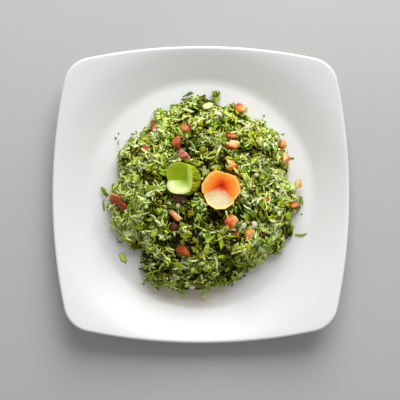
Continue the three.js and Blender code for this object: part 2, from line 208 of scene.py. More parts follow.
# %% [markdown]
# ## The plate
# A modern square plate is a shallow round dish whose rim was cut to a square: its floor and foot
# are round, its wall rises by the same curve in every direction, and so its corners, which reach
# further out, stand higher than the middles of its sides. It is worked out flat first, as a disc
# with a foot and a lip, then drawn out to the square, and only then dished.

# %% Rim outline
MARGIN = 0.2  # the dressed plate stays this far inside the measured one
HALF_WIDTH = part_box("plate")[1].x / MM - MARGIN
SIDE_ARC_RADIUS = 439.0
CORNER_RADIUS = 26.0
FLOOR_RADIUS = 96.0


def ray_to_circle(angle, x, y, radius):
    """How far a ray from the origin runs to the far side of a circle."""
    along = x * np.cos(angle) + y * np.sin(angle)
    return along + np.sqrt(np.maximum(radius**2 - x**2 - y**2 + along**2, 0))


def rim_reach(angle):
    """Middle to rim: a wide arc on each side, and a small arc that joins two sides smoothly."""
    side_centre = HALF_WIDTH - SIDE_ARC_RADIUS
    apart = SIDE_ARC_RADIUS - CORNER_RADIUS
    corner = (side_centre + np.sqrt(2 * apart**2 - side_centre**2)) / 2
    joint = np.arctan2(corner, corner - side_centre)
    joint_x = side_centre + SIDE_ARC_RADIUS * np.cos(joint)
    turn = np.arctan2(SIDE_ARC_RADIUS * np.sin(joint), joint_x)
    from_side = np.mod(angle, np.pi / 2)
    folded = np.minimum(from_side, np.pi / 2 - from_side)
    on_side = ray_to_circle(folded, side_centre, 0, SIDE_ARC_RADIUS)
    on_corner = ray_to_circle(folded, corner, corner, CORNER_RADIUS)
    return np.where(folded <= turn, on_side, on_corner)


print("reach across a corner:", round(float(rim_reach(np.array(np.pi / 4))), 1), "mm")

# %% How the dish rises
FOOT_HEIGHT = 2.7
WALL_THICKNESS = 3.8
FLOOR_TOP = FOOT_HEIGHT + WALL_THICKNESS
DISH_STEEPNESS = np.array(
    # radius and rise over run: flat floor, a fillet to the even wall, and shallow corners
    [[FLOOR_RADIUS, 0], [104, 0.54], [124, 0.54], [134, 0.38], [146, 0.29], [160, 0.26]]
)


def dish(radius):
    """Height and rise over run of the upper surface at a radius.

    The rise over run changes evenly between its known values, so the height is the area under
    that line: whole stretches up to the last value passed, and a part of the next one.
    """
    knots, steepness = DISH_STEEPNESS.T
    areas = np.diff(knots) * (steepness[1:] + steepness[:-1]) / 2
    heights = FLOOR_TOP + np.append(0, np.cumsum(areas))
    passed = np.clip(np.searchsorted(knots, radius, side="right") - 1, 0, len(knots) - 1)
    steep = np.interp(radius, knots, steepness)
    beyond = np.maximum(radius - knots[passed], 0)
    return heights[passed] + beyond * (steepness[passed] + steep) / 2, steep


print("the rim rises from", dish(np.array(HALF_WIDTH))[0].round(1), "mm at a side's middle to",
      dish(rim_reach(np.array(np.pi / 4)))[0].round(1), "mm at a corner")

# %% Section of the flat disc
FOOT_RADIUS = 78.0
FOOT_WIDTH = 5.0
LIP_RADIUS = WALL_THICKNESS / 2
WALL_END = HALF_WIDTH - LIP_RADIUS


def arc(centre, radius, start, end, steps):
    """Points on an arc between two angles in degrees."""
    turn = np.radians(np.linspace(start, end, steps))[:, None]
    return np.asarray(centre) + radius * np.hstack([np.cos(turn), np.sin(turn)])


def flat_section():
    """Foot ring, underside, half-round lip and top, as (radius, height above the top side)."""
    shares = np.array(
        [0, 0.03, 0.06, 0.1, 0.14, 0.18, 0.22, 0.26, 0.3, 0.4, 0.5, 0.6, 0.7, 0.8, 0.9, 1]
    )
    top = np.stack([FLOOR_RADIUS + shares * (WALL_END - FLOOR_RADIUS), 0 * shares], axis=1)
    under = top - [0, WALL_THICKNESS]
    bead = FOOT_WIDTH / 4
    inside, outside = FOOT_RADIUS - FOOT_WIDTH / 2, FOOT_RADIUS + FOOT_WIDTH / 2
    foot_in = arc((inside + bead, bead - FLOOR_TOP), bead, 180, 270, 5)
    foot_out = arc((outside - bead, bead - FLOOR_TOP), bead, 270, 360, 5)
    lip = arc((WALL_END, -LIP_RADIUS), LIP_RADIUS, -90, 90, 13)[1:-1]
    middle = [[FOOT_RADIUS * share, -WALL_THICKNESS] for share in (0.3, 0.6, 0.9)]
    sides = [[[edge, -WALL_THICKNESS]] for edge in (inside, outside)]
    floor = [[FLOOR_RADIUS * share, 0] for share in (0.95, 0.8, 0.55, 0.3)]
    return np.vstack([middle, sides[0], foot_in, foot_out, sides[1], under, lip, top[::-1], floor])


print("rings in the plate's section:", len(flat_section()))

# %% Drawing out and dishing
PLATE_COLUMNS = 288
CORNER_CROWDING = 0.15


def plate_points():
    """The flat disc's wall is stretched to the rim's reach, and every point is then dished.

    A point at radius r and height h above the top side moves to the dish's height at r, plus h
    laid off square to the slope there.
    """
    section = flat_section()
    radius, above = section[:, :1], section[:, 1:]
    around = np.arange(PLATE_COLUMNS)[None] * 2 * np.pi / PLATE_COLUMNS
    share = np.clip((radius - FLOOR_RADIUS) / (WALL_END - FLOOR_RADIUS), 0, 1)
    angle = around + share * CORNER_CROWDING * np.sin(4 * around)
    reach = rim_reach(angle)
    tilt = np.arctan(dish(reach)[1])
    wall_end = reach - LIP_RADIUS * (1 + np.sin(tilt))
    drawn = radius + share * (wall_end - WALL_END)
    height, steep = dish(drawn)
    slope = np.arctan(steep)
    out = drawn - above * np.sin(slope)
    z = height + above * np.cos(slope)
    rings = np.stack([out * np.cos(angle), out * np.sin(angle), z], axis=-1)
    poles = np.array([[0, 0, FOOT_HEIGHT], [0, 0, FLOOR_TOP]])
    return np.vstack([poles[:1], rings.reshape(-1, 3), poles[1:]]), len(section)


plate, plate_rings = plate_points()
print("points of the plate:", len(plate))

# %% [markdown]
# Porcelain glaze is a clear glass skin on a white body. It is very smooth, but never dead flat:
# a faint swell from the firing makes reflections swim a little, so the bump is broad and low.
# In front, just past the foot of the heap, the glaze is tinted brownish. The distance to the
# tint's middle, squeezed from side to side and made wavy, says how strong the tint is.

# %% Glazed white porcelain
glaze = Finish("white glazed porcelain", Roughness=0.3, IOR=1.5)
cloud = glaze.noise(9, 2)
white = glaze.ramp(cloud, (0.3, 0.83, 0.832, 0.832), (0.7, 0.855, 0.857, 0.857))
# A brownish tint on the glaze, strongest just past the front foot of the heap, fading with distance.
SQUEEZE = 0.42
TINT_CENTRE = (-4 * MM, -82 * MM, FLOOR_TOP * MM)
TINT_DEPTH = 50 * MM
squeezed = glaze.node("VectorMath", operation="MULTIPLY")
squeezed.inputs[1].default_value = (SQUEEZE, 1.0, 1.0)
glaze.join(glaze.node("TexCoord").outputs["Object"], squeezed.inputs[0])
from_centre = glaze.node("VectorMath", operation="DISTANCE")
glaze.join(squeezed.outputs["Vector"], from_centre.inputs[0])
from_centre.inputs[1].default_value = TINT_CENTRE
reached = glaze.math("MULTIPLY", from_centre.outputs["Value"], 1 / TINT_DEPTH)
wavy = glaze.math("ADD", reached, glaze.math("MULTIPLY", glaze.noise(60, 2), 0.3))
brown_tint = glaze.ramp(wavy, (0.33, 0.88, 0.77, 0.62), (0.47, 0.94, 0.89, 0.81), (0.60, 1, 1, 1))
glaze.colour(glaze.blend(1.0, white, brown_tint, "MULTIPLY"))
glaze.relief(glaze.noise(22, 2), 0.0005)

build(
    "plate_porcelain",
    plate,
    ring_faces(plate_rings, PLATE_COLUMNS),
    glaze.material,
    "plate",
    "porcelain",
)

# %% [markdown]
# ## The heap
# Chopped salad that is tipped on a plate settles as a low mound with steep, crumbling sides and
# a flat top. A superellipse gives that profile with a single number for its fullness, and a sum
# of waves round the heap gives its uneven outline.

# %% The mound as a surface
HEAP_CENTRE = np.array([1.4, -1.0])
HEAP_RADIUS = 83.3
HEAP_HEIGHT = 38.0
HEAP_FULLNESS = 2.0
HEAP_BASE = FLOOR_TOP + 0.3
HEAP_RIPPLES = np.array(
    # waves round the heap, height of the wave, turn in degrees
    [[2, 2, -125], [3, 1.7, 42], [4, 1.6, 37], [5, 1, 167], [7, 1.6, 85], [9, 0.9, 36], [12, 1.5, -6]]
)
DIP_CENTRE = np.array([0.0, 9.0])
DIP_RADIUS = 34.0
DIP_DEPTH = 3.0


def heap_reach(angle):
    """Reach of the heap's outline, as a sum of cosine waves."""
    waves, height, turn = HEAP_RIPPLES.T
    phase = waves * np.asarray(angle)[..., None] + np.radians(turn)
    return HEAP_RADIUS + (height * np.cos(phase)).sum(axis=-1)


def mound(angle, share):
    """Points of the mound: at share s of its reach, its height is H (1 - s^n)^(1/n)."""
    angle, share = np.broadcast_arrays(angle, share)
    reach = heap_reach(angle) * share
    x = HEAP_CENTRE[0] + reach * np.cos(angle)
    y = HEAP_CENTRE[1] + reach * np.sin(angle)
    rise = np.clip(1 - share**HEAP_FULLNESS, 0, None) ** (1 / HEAP_FULLNESS)
    away = np.hypot(x - DIP_CENTRE[0], y - DIP_CENTRE[1]) / DIP_RADIUS
    dip = DIP_DEPTH * np.clip(1 - away**2, 0, None) ** 2
    return np.stack([x, y, HEAP_BASE + HEAP_HEIGHT * rise - dip], axis=-1)


def mound_facing(angle, share):
    """Outward direction of the mound, which is the slope of its own equation."""
    angle, share = np.broadcast_arrays(angle, share)
    reach = heap_reach(angle)
    rise = np.clip(1 - share**HEAP_FULLNESS, 0, None) ** (1 / HEAP_FULLNESS)
    out = share ** (HEAP_FULLNESS - 1) / reach
    up = rise ** (HEAP_FULLNESS - 1) / HEAP_HEIGHT
    facing = np.stack([out * np.cos(angle), out * np.sin(angle), up], axis=-1)
    return facing / np.linalg.norm(facing, axis=-1, keepdims=True)


print("top of the smooth mound:", mound(np.array(0.0), np.array(0.0)).round(1), "mm")

# %% [markdown]
# A crumbly surface needs unevenness at two sizes: handfuls that settle together, and the gaps
# between single pieces. Both come from one function, which adds up waves that run in random
# directions through space, so it can be read at any point, also on the steep sides. A helping is
# never mixed evenly either, so a short table says where pale inner leaves came together and where
# dark ones and hollows did. The same table also paints light: its pale patches brighten the
# heap's shaded west and south sides, and a dark one paints the shade just south of the cups.

# %% Unevenness as waves through space
def waves_through_space(seed, count, shortest, longest):
    """A function from points to about -1 to 1: the sum of plane waves of random direction."""
    random = np.random.default_rng(seed)
    direction = random.normal(size=(count, 3))
    direction /= np.linalg.norm(direction, axis=1, keepdims=True)
    length = random.uniform(shortest, longest, (count, 1))
    phase = random.uniform(0, 2 * np.pi, count)

    def field(points):
        turns = points @ (2 * np.pi * direction / length).T + phase
        return np.cos(turns).sum(axis=-1) / np.sqrt(count)

    return field


def smooth_step(low, high, value):
    """From 0 at low to 1 at high by 3 t^2 - 2 t^3, and level past both. Low may be the larger."""
    t = np.clip((value - low) / (high - low), 0, 1)
    return t * t * (3 - 2 * t)


handfuls = waves_through_space(3, 14, 18, 40)
gaps = waves_through_space(4, 24, 6, 14)
holes = waves_through_space(12, 30, 9, 24)
print("one wave field at the origin:", handfuls(np.zeros(3)).round(2))

# %% Paler and darker patches
# Pale patches on the heap's shaded west and south sides also paint light there, and the dark patch just
# south of the cups paints their shade.
PATCHES = np.array(
    # x, y and radius in mm, then how much paler and fuller (or darker and emptier) it is there
    [
        [-50, 60, 20, 1.2],
        [-75, 10, 15, 1],
        [-60, -30, 15, 0.6],
        [5, -80, 15, 0.4],
        [60, -50, 15, 0.8],
        [75, 5, 20, 0.6],
        [60, 55, 15, 0.7],
        [-5, -10, 15, -0.5],
        [-40, -65, 10, -0.5],
        [25, -60, 10, -0.5],
        [40, 40, 10, -0.6],
    ]
)


def pale_patches_and_painted_light(points):
    """Bumps of a bell curve round each patch, added up."""
    x, y, radius, amount = PATCHES.T
    away = (points[..., :1] - x) ** 2 + (points[..., 1:2] - y) ** 2
    return (amount * np.exp(-away / (2 * radius**2))).sum(axis=-1)


print("patches:", len(PATCHES), "of which", int((PATCHES[:, 3] > 0).sum()), "are paler")

# %% Height of the salad over the smooth mound
HANDFUL_HEIGHT = 2.2
GAP_DEPTH = 2.4
HOLE_DEPTH = 4.5
PALE_HEIGHT = 1.5


def emptiness(points):
    """1 in the deep holes between clusters of leaf, and 0 on the clusters."""
    return smooth_step(0.45, 1.15, holes(points) - 0.8 * pale_patches_and_painted_light(points))


def unevenness(points):
    """How far the salad stands out from the smooth mound, in millimetres."""
    swell = HANDFUL_HEIGHT * handfuls(points) + GAP_DEPTH * gaps(points)
    return swell + PALE_HEIGHT * pale_patches_and_painted_light(points) - HOLE_DEPTH * emptiness(points)


sample = mound(np.linspace(0, 6, 500), np.linspace(0, 1, 500))
print("the salad stands out by", unevenness(sample).std().round(2), "mm either way")

# %% [markdown]
# ## Laying pieces on the heap
# Each loose piece is worked out flat on its own little axes: length along X, width along Y. It
# is then rolled, pitched and turned, leaned to face out of the mound, and moved to its place.
# All pieces of a kind go through each step together, as one array of shape (pieces, points, 3).

# %% Turning and leaning whole kinds at once
def rotate(pieces, axis, angle):
    """Turns each piece about X, Y or Z (0, 1 or 2) by its own angle."""
    i, j = (axis + 1) % 3, (axis + 2) % 3
    cos, sin = np.cos(angle)[:, None], np.sin(angle)[:, None]
    turned = pieces.copy()
    turned[..., i] = cos * pieces[..., i] - sin * pieces[..., j]
    turned[..., j] = sin * pieces[..., i] + cos * pieces[..., j]
    return turned


def lean(pieces, facing):
    """Turns each piece the shortest way that brings its +Z to its facing."""
    fx, fy, fz = (facing[:, None, k] for k in range(3))
    x, y, z = (pieces[..., k] for k in range(3))
    twist = (fx * y - fy * x) / (1 + fz)
    return np.stack(
        [fz * x + fx * z - fy * twist, fz * y + fy * z + fx * twist, fz * z - fx * x - fy * y],
        axis=-1,
    )


def lay(pieces, place, facing, turn, pitch=None, roll=None):
    """Pieces rolled, pitched, turned, leaned to their facing and moved to their place."""
    if roll is not None:
        pieces = rotate(pieces, 0, roll)
    if pitch is not None:
        pieces = rotate(pieces, 1, pitch)
    return lean(rotate(pieces, 2, turn), facing) + place[:, None]


tipped = lay(np.array([[[0, 0, 1.0]]]), np.zeros((1, 3)), np.array([[0.6, 0, 0.8]]), np.zeros(1))
print("an upright pin that is leaned points to", tipped[0, 0].round(2))

# %% Even scatter, as in a sunflower
GOLDEN_ANGLE = np.pi * (3 - np.sqrt(5))


def scatter(count, random, start):
    """Angle and share of pieces spread evenly over the mound, top and sides alike."""
    down = (np.arange(count) + random.uniform(0, 1, count)) / count
    angle = start + np.arange(count) * GOLDEN_ANGLE + random.normal(0, 0.4, count)
    return angle, 0.9995 * np.sqrt(down * (2 - down))


print("each piece lies", np.degrees(GOLDEN_ANGLE).round(1), "degrees on from the one before it")

# %% [markdown]
# The heap's foot is the line that the eye follows, so it gets more care than the rest. Small
# waves make it ragged, and a table of lobes says where the salad spilled outwards or was pushed in.
# All unevenness fades towards the foot, so that these two alone shape it.

# %% The ragged foot
TUCK = 5.0  # shreds stick out of the sides by about this much
RAGGED = 3.6
FADE = 0.85  # share of the other unevenness that is gone at the foot
ragged = waves_through_space(21, 30, 7, 17)
LOBES = np.array(
    # direction and half width in degrees, and how far the heap's foot juts out there in mm
    [
        [0, 3, -2.4],
        [12, 8, -2.4],
        [27, 4, -1.6],
        [36, 3, 2],
        [40, 3, -2],
        [48, 5, 6.2],
        [59, 4, -5],
        [70, 3, 4],
        [81, 5, -7.6],
        [96, 6, 2.8],
        [132, 5, -2.2],
        [151, 4, 5.8],
        [161, 4, -1.5],
        [174, 5, -4.6],
        [190, 5, -1.8],
        [205, 26, -1.8],
        [221, 4.5, -7.5],
        [229, 4, -2.5],
        [239, 4, 2.4],
        [246, 4, -1.2],
        [254, 4, 2.6],
        [270, 5, -4],
        [281, 4, -1.5],
        [291, 4.5, 4],
        [301, 4, -2.5],
        [309, 5, -3],
        [321, 4, 3.2],
        [325, 26, 2],
        [349, 6, -1.6],
    ]
)


def foot_juts(place):
    """Each lobe is a bell curve over the direction, and small waves run along the plate."""
    out = place[..., :2] - HEAP_CENTRE
    direction = np.degrees(np.arctan2(out[..., 1], out[..., 0]))
    towards, half_width, juts = LOBES.T
    apart = np.mod(direction[..., None] - towards + 180, 360) - 180
    lobes = (juts * np.exp(-((apart / half_width) ** 2) / 2)).sum(axis=-1)
    return lobes + RAGGED * ragged(place * [1, 1, 0])


def lift_of(place, share, depth):
    """How far out of the smooth mound: the depth and unevenness, less a tuck near the outline.

    Pieces stick out of the mound's sides by about the tuck, so they end at its outline.
    """
    near_outline = share**6
    foot = foot_juts(place) - TUCK
    return depth + unevenness(place) * (1 - FADE * near_outline) + foot * near_outline


around = mound(np.linspace(0, 2 * np.pi, 360), np.ones(360))
print("the foot juts out or in by", foot_juts(around).std().round(1), "mm either way")

# %% Settling on the heap
def settle(angle, share, depth):
    """Place and facing on the uneven mound, at a depth above (or below) its surface."""
    place = mound(angle, share)
    facing = mound_facing(angle, share)
    return place + facing * lift_of(place, share, depth)[:, None], facing


def share_above(x, y):
    """Angle and share of the mound above a place on the plate."""
    angle = np.arctan2(y - HEAP_CENTRE[1], x - HEAP_CENTRE[0])
    away = np.hypot(x - HEAP_CENTRE[0], y - HEAP_CENTRE[1])
    return angle, np.minimum(away / heap_reach(angle), 0.99)


print("the middle of the plate lies at share", share_above(0.0, 0.0)[1].round(3), "of the heap")

# %% [markdown]
# ## The carved cups
# A cook makes such a cup with three straight cuts into a stub of carrot or cucumber. The cuts
# meet in a point, so the hollow is an upside-down pyramid, and where it meets the round stub
# the rim rises and falls as three petals. Both surfaces are simple heights over a radius and
# an angle, which is why the cup is worked out in those terms and not cut with booleans.

# %% Facts of the two cups
CARROT = dict(
    # angles in degrees, and the rest in mm; edges are the corners that the peeler left
    edges=np.array([20, 40, 105, 127, 165, 192, 228, 256, 283, 309, 355.0]),
    mouth_radius=16.8,
    foot_radius=9.0,
    height=29.0,
    shoulder=19.0,
    hollow_floor=8.0,
    petal_slope=1.2,
    petals=18.0 + 120 * np.arange(-1, 2),
    mouth_centre=np.array([16.5, 3.1, 57.0]),
    lean=13.0,
    lean_towards=251.0,
)
CUCUMBER = dict(
    edges=np.arange(0, 360, 7.5),
    mouth_radius=13.5,
    foot_radius=9.0,
    height=26.0,
    shoulder=7.0,
    hollow_floor=9.0,
    petal_slope=1.15,
    petals=5.0 + 120 * np.arange(-1, 2),
    mouth_centre=np.array([-19.9, 14.0, 56.0]),
    lean=25.0,
    lean_towards=170.0,
)
print("corners on the carrot and the cucumber:", len(CARROT["edges"]), "and", len(CUCUMBER["edges"]))

# %% The cups' own axes
def cup_axes(cup):
    """Rows are the cup's own X, Y and Z in the dish's axes: leaned about a level hinge."""
    towards, tip = np.radians(cup["lean_towards"]), np.radians(cup["lean"])
    hinge = np.array([-np.sin(towards), np.cos(towards), 0])
    cross = np.array([[0, 0, hinge[1]], [0, 0, -hinge[0]], [-hinge[1], hinge[0], 0]])
    turn = np.eye(3) + np.sin(tip) * cross + (1 - np.cos(tip)) * cross @ cross
    return turn.T


def cup_foot(cup):
    """Middle of the stub's foot, one height below the middle of its mouth."""
    return cup["mouth_centre"] - cup["height"] * cup_axes(cup)[2]


for each in (CARROT, CUCUMBER):
    print("a cup's foot is at", cup_foot(each).round(1), "mm")

# %% The uncut stub and the three knife cuts
def taper(cup, height):
    """The stub's radius at a height: it widens evenly from the foot to its shoulder."""
    widening = (cup["mouth_radius"] - cup["foot_radius"]) * np.clip(height / cup["shoulder"], 0, 1)
    return cup["foot_radius"] + widening


def knife_facets(angle, edges):
    """Distance to the sides of a polygon with these corners, as a share of its radius."""
    corners = np.radians(np.append(edges, edges[0] + 360))
    turn = np.mod(angle - corners[0], 2 * np.pi) + corners[0]
    side = np.searchsorted(corners, turn, side="right").clip(1, len(corners) - 1)
    middle = (corners[side] + corners[side - 1]) / 2
    half = (corners[side] - corners[side - 1]) / 2
    return np.cos(half) / np.cos(turn - middle)


def petal_lean(cup, angle):
    """Cosine of the angle to the nearest petal's middle, 1/2 at a crease, and which petal it is."""
    apart = angle[..., None] - np.radians(cup["petals"])
    return np.cos(apart).max(axis=-1), np.cos(apart).argmax(axis=-1)


def rim_of(cup, angle):
    """Radius and height at which the cut plane meets the stub, on its taper or above it."""
    share = knife_facets(angle, cup["edges"])
    steep = cup["petal_slope"] * petal_lean(cup, angle)[0]
    growth = share * (cup["mouth_radius"] - cup["foot_radius"]) / cup["shoulder"]
    on_taper = (share * cup["foot_radius"] + growth * cup["hollow_floor"]) / (1 - growth * steep)
    radius = np.minimum(on_taper, share * cup["mouth_radius"])
    return radius, cup["hollow_floor"] + steep * radius


rim_heights = rim_of(CARROT, np.linspace(0, 6.28, 400))[1]
print("the carrot's rim is", rim_heights.min().round(1), "to", rim_heights.max().round(1), "mm high")

# %% A cup as one closed surface
MOST_FACETS = 20  # a stub with more corners than this counts as round


def cup_columns(cup, step):
    """Even angles, with a close pair added at each crease and at each corner of the stub."""
    creases = cup["petals"] + 60
    corners = cup["edges"] if len(cup["edges"]) < MOST_FACETS else np.zeros(0)
    pairs = [angle + side for angle in (*creases, *corners) for side in (-0.8, 0, 0.8)]
    return np.radians(np.unique(np.mod(np.append(np.arange(0, 360, step), pairs), 360).round(3)))


CUP_STEP = 3.0
OUTER_ROWS = 16
INNER_ROWS = 26


def cup_points(cup):
    """Up the outside of the stub, over a narrow rim, and down the cuts to their common point.

    Outside, the radius follows the stub's taper and facets. Inside, the height is the floor
    plus the slope times the distance towards the nearest petal's middle.
    """
    angle = cup_columns(cup, CUP_STEP)
    rim, top = rim_of(cup, angle)
    lean = petal_lean(cup, angle)[0]
    share = knife_facets(angle, cup["edges"])
    foot = share * cup["foot_radius"]
    up = np.linspace(0.02, 1, OUTER_ROWS)[:, None]
    outside_z = up * (top - 0.35)
    outside_r = share * taper(cup, outside_z)
    inward = np.append([0.012, 0.04], np.linspace(0.09, 0.97, INNER_ROWS - 2))[:, None]
    inside_r = rim * (1 - inward)
    inside_z = cup["hollow_floor"] + cup["petal_slope"] * lean * inside_r
    edge_r, edge_z = (rim - 0.1)[None], (top - 0.12)[None]
    radius = np.vstack([foot * 0.6, foot - 0.4, outside_r, edge_r, inside_r])
    height = np.vstack([0 * foot, 0 * foot, outside_z, edge_z, inside_z])
    rings = np.stack([radius * np.cos(angle), radius * np.sin(angle), height], axis=-1)
    poles = np.array([[0, 0, 0], [0, 0, cup["hollow_floor"]]])
    own = np.vstack([poles[:1], rings.reshape(-1, 3), poles[1:]])
    depth = np.vstack([np.zeros((OUTER_ROWS + 3, 1)), inward]) + 0 * angle
    return own, len(rings), len(angle), np.concatenate([[0], depth.ravel(), [1]])


def cup_marks(cup, own, depth):
    """Per point: on the skin or not, which petal, distance to the nearest crease, and radius."""
    angle = np.arctan2(own[:, 1], own[:, 0])
    nearness, petal = petal_lean(cup, angle)
    radius = np.hypot(own[:, 0], own[:, 1])
    from_crease = radius * np.sin(np.radians(60) - np.arccos(np.clip(nearness, -1, 1)))
    return (depth == 0).astype(float), petal, from_crease, radius


own, rings, columns, depth = cup_points(CARROT)
print("carrot cup:", rings, "rings of", columns, "points")

# %% [markdown]
# The carrot's cut faces are painted deeper in colour where two cuts meet and near the point of the
# hollow, as shade there, and yellow at the thin edge, where light comes through. The cut that
# faces the window is painted pale cream, as the window's glare on it. Thin petals let light
# through, and a painted glow stands in for that, so that the sides that face away from the
# window glow as well.

# %% Carrot flesh
flesh = Finish("fresh carrot", Roughness=0.36, Subsurface_Weight=0.35, Subsurface_Scale=0.004)
flesh.shader.inputs["Subsurface Radius"].default_value = (1.0, 0.42, 0.16)
grain = flesh.noise(300, 4)
fibre = flesh.math("MULTIPLY", grain, 0.2)
# Painted shading of the cut faces: yellow at the thin rim, deeper red towards the hollow's point and
# along the creases, as shade.
wet = flesh.ramp(
    flesh.math("ADD", flesh.stored("deep"), fibre),
    (0.11, 1.0, 0.76, 0.20),
    (0.17, 1.0, 0.60, 0.10),
    (0.23, 1.0, 0.43, 0.06),
    (0.42, 1.0, 0.28, 0.035),
    (0.7, 0.92, 0.16, 0.02),
    (1.0, 0.76, 0.08, 0.01),
)
# Painted glare of the window: pale cream on the cut that faces it.
painted_glare = flesh.ramp(grain, (0.35, 0.52, 0.52, 0.26), (0.62, 0.60, 0.62, 0.36))
cut = flesh.blend(flesh.stored("pale"), wet, painted_glare)
peeled = flesh.ramp(grain, (0.35, 0.9, 0.34, 0.04), (0.65, 1.0, 0.50, 0.10))
flesh.colour(flesh.blend(flesh.stored("skin"), cut, peeled))
# A painted glow, strongest at the thin rim, stands in for light that comes through the petals.
painted_glow = flesh.ramp(
    flesh.stored("thin"),
    (0.0, 0.12, 0.01, 0.001),
    (0.45, 0.62, 0.09, 0.008),
    (0.88, 1.0, 0.30, 0.03),
    (1.0, 1.0, 0.62, 0.12),
)
flesh.join(painted_glow, flesh.shader.inputs["Emission Color"])
flesh.shader.inputs["Emission Strength"].default_value = 0.42
flesh.relief(grain, 0.0004)
print("nodes in the carrot's finish:", len(flesh.tree.nodes))

# %% The carved carrot
on_skin, petal, from_crease, radius = cup_marks(CARROT, own, depth)
on_lit_cut = (petal == 0) * (1 - on_skin)
to_right = np.clip(own[:, 0] / 8, 0, 1)
# The cut facing the window is painted pale as its glare, up to the creases but not at the rim or near
# the hollow's point, which is painted as in shadow.
pale = on_lit_cut * smooth_step(0, 0.8 + 1.4 * to_right, from_crease)
pale *= smooth_step(2, 5.5, radius) * (1 - 0.8 * smooth_step(0.14, 0.03, depth))
# More light comes through towards the rim, where a petal is thinnest; a painted glow stands in for it.
thin = 0.88 * smooth_step(1.05, 0.25, depth) + 0.12 * smooth_step(0.15, 0.04, depth)
thin *= (1 - on_lit_cut) * (1 - on_skin)
# Two cuts that meet light each other up and shade each other, and that deeper colour is painted along
# the creases.
crease = 0.3 * np.exp(-from_crease / 2.0) * smooth_step(0.02, 0.4, depth) * (1 - 0.8 * on_lit_cut)
build(
    "carrot_cup_carved",
    own @ cup_axes(CARROT) + cup_foot(CARROT),
    ring_faces(rings, columns),
    flesh.material,
    "carrot_cup",
    "carrot",
    skin=on_skin,
    pale=pale,
    thin=thin,
    # painted shade: deeper in the hollow and along the creases
    deep=depth**1.3 * 0.85 + crease,
)

# %% [markdown]
# A cucumber's skin is streaked from end to end, dark green with paler and yellow lines, and its
# flesh pales from green under the skin to nearly white inside. On top of that, the cut that faces
# the window is painted palest, as its glare, with a painted highlight partway in, and the cut on
# the left is painted deep green, as shade. The streaks follow the angle round the vegetable, so
# each point carries that angle and the noise is read along it.

# %% Cucumber flesh and skin
cucumber_finish = Finish(
    "cucumber", Roughness=0.36, Specular_IOR_Level=0.3, Subsurface_Weight=0.4, Subsurface_Scale=0.003
)
cucumber_finish.shader.inputs["Subsurface Radius"].default_value = (0.7, 1.0, 0.2)
clouds = cucumber_finish.noise(300, 4)
cloudy = cucumber_finish.math("MULTIPLY", clouds, 0.34)
clouded = cucumber_finish.math("ADD", cucumber_finish.stored("depth"), cloudy)
# Painted shade: the deep green of the cuts that face away from the window.
shaded_deep_flesh = cucumber_finish.ramp(
    clouded,
    (0.12, 0.62, 0.74, 0.08),
    (0.3, 0.50, 0.63, 0.008),
    (0.6, 0.40, 0.53, 0.004),
    (0.9, 0.45, 0.56, 0.012),
)
# Painted glare: pale flesh of the cut that faces the window, brightest partway in.
glare_pale_flesh = cucumber_finish.ramp(
    clouded,
    (0.12, 0.40, 0.50, 0.07),
    (0.26, 0.60, 0.68, 0.28),
    (0.42, 0.76, 0.84, 0.46),
    (0.62, 0.62, 0.73, 0.28),
    (0.9, 0.42, 0.55, 0.10),
)
pulp = cucumber_finish.blend(cucumber_finish.stored("pale"), shaded_deep_flesh, glare_pale_flesh)
stretched = cucumber_finish.node("VectorMath", operation="MULTIPLY")
stretched.inputs[1].default_value = (1.0, 1.0, 0.09)
cucumber_finish.join(cucumber_finish.stored("round", "Vector"), stretched.inputs[0])
streaks = cucumber_finish.ramp(
    cucumber_finish.noise(5.5, 3, stretched.outputs["Vector"], roughness=0.6),
    (0.36, 0.07, 0.14, 0.004),
    (0.45, 0.30, 0.44, 0.012),
    (0.54, 0.66, 0.72, 0.04),
    (0.64, 0.85, 0.78, 0.05),
)
cucumber_finish.colour(cucumber_finish.blend(cucumber_finish.stored("skin"), pulp, streaks))
# A painted glow on the right cut stands in for light that comes through it.
painted_glow = cucumber_finish.ramp(cucumber_finish.stored("thin"), (0.0, 0, 0, 0), (1.0, 0.62, 0.72, 0.12))
cucumber_finish.join(painted_glow, cucumber_finish.shader.inputs["Emission Color"])
cucumber_finish.shader.inputs["Emission Strength"].default_value = 0.3
cucumber_finish.relief(clouds, 0.0003)
print("nodes in the cucumber's finish:", len(cucumber_finish.tree.nodes))

# %% The carved cucumber
own, rings, columns, depth = cup_points(CUCUMBER)
on_skin, petal = cup_marks(CUCUMBER, own, depth)[:2]
# The front cut is painted palest as the window's glare, the left one deepest green as shade, and the
# right one between.
glare_and_shade_by_cut = np.array([1.0, 0.45, 0.0])  # of the front, right and left cuts
build(
    "cucumber_cup_carved",
    own @ cup_axes(CUCUMBER) + cup_foot(CUCUMBER),
    ring_faces(rings, columns),
    cucumber_finish.material,
    "cucumber_cup",
    "cucumber",
    skin=on_skin,
    pale=glare_and_shade_by_cut[petal] * (1 - on_skin),
    depth=depth,
    thin=(petal == 1) * (1 - on_skin) * smooth_step(1.1, 0.3, depth),
    round=own / CUCUMBER["mouth_radius"],
)

# %% [markdown]
# ## The core of the heap
# Under the loose pieces lies one closed surface, so that no gap between them shows the plate.
# It is the mound, sunk a little, and pressed in below each cup as the real salad is.

# %% The core under the loose pieces
CORE_ROWS = 110
CORE_COLUMNS = 300
BASE_ROWS = 6
CORE_SINK = 3.6


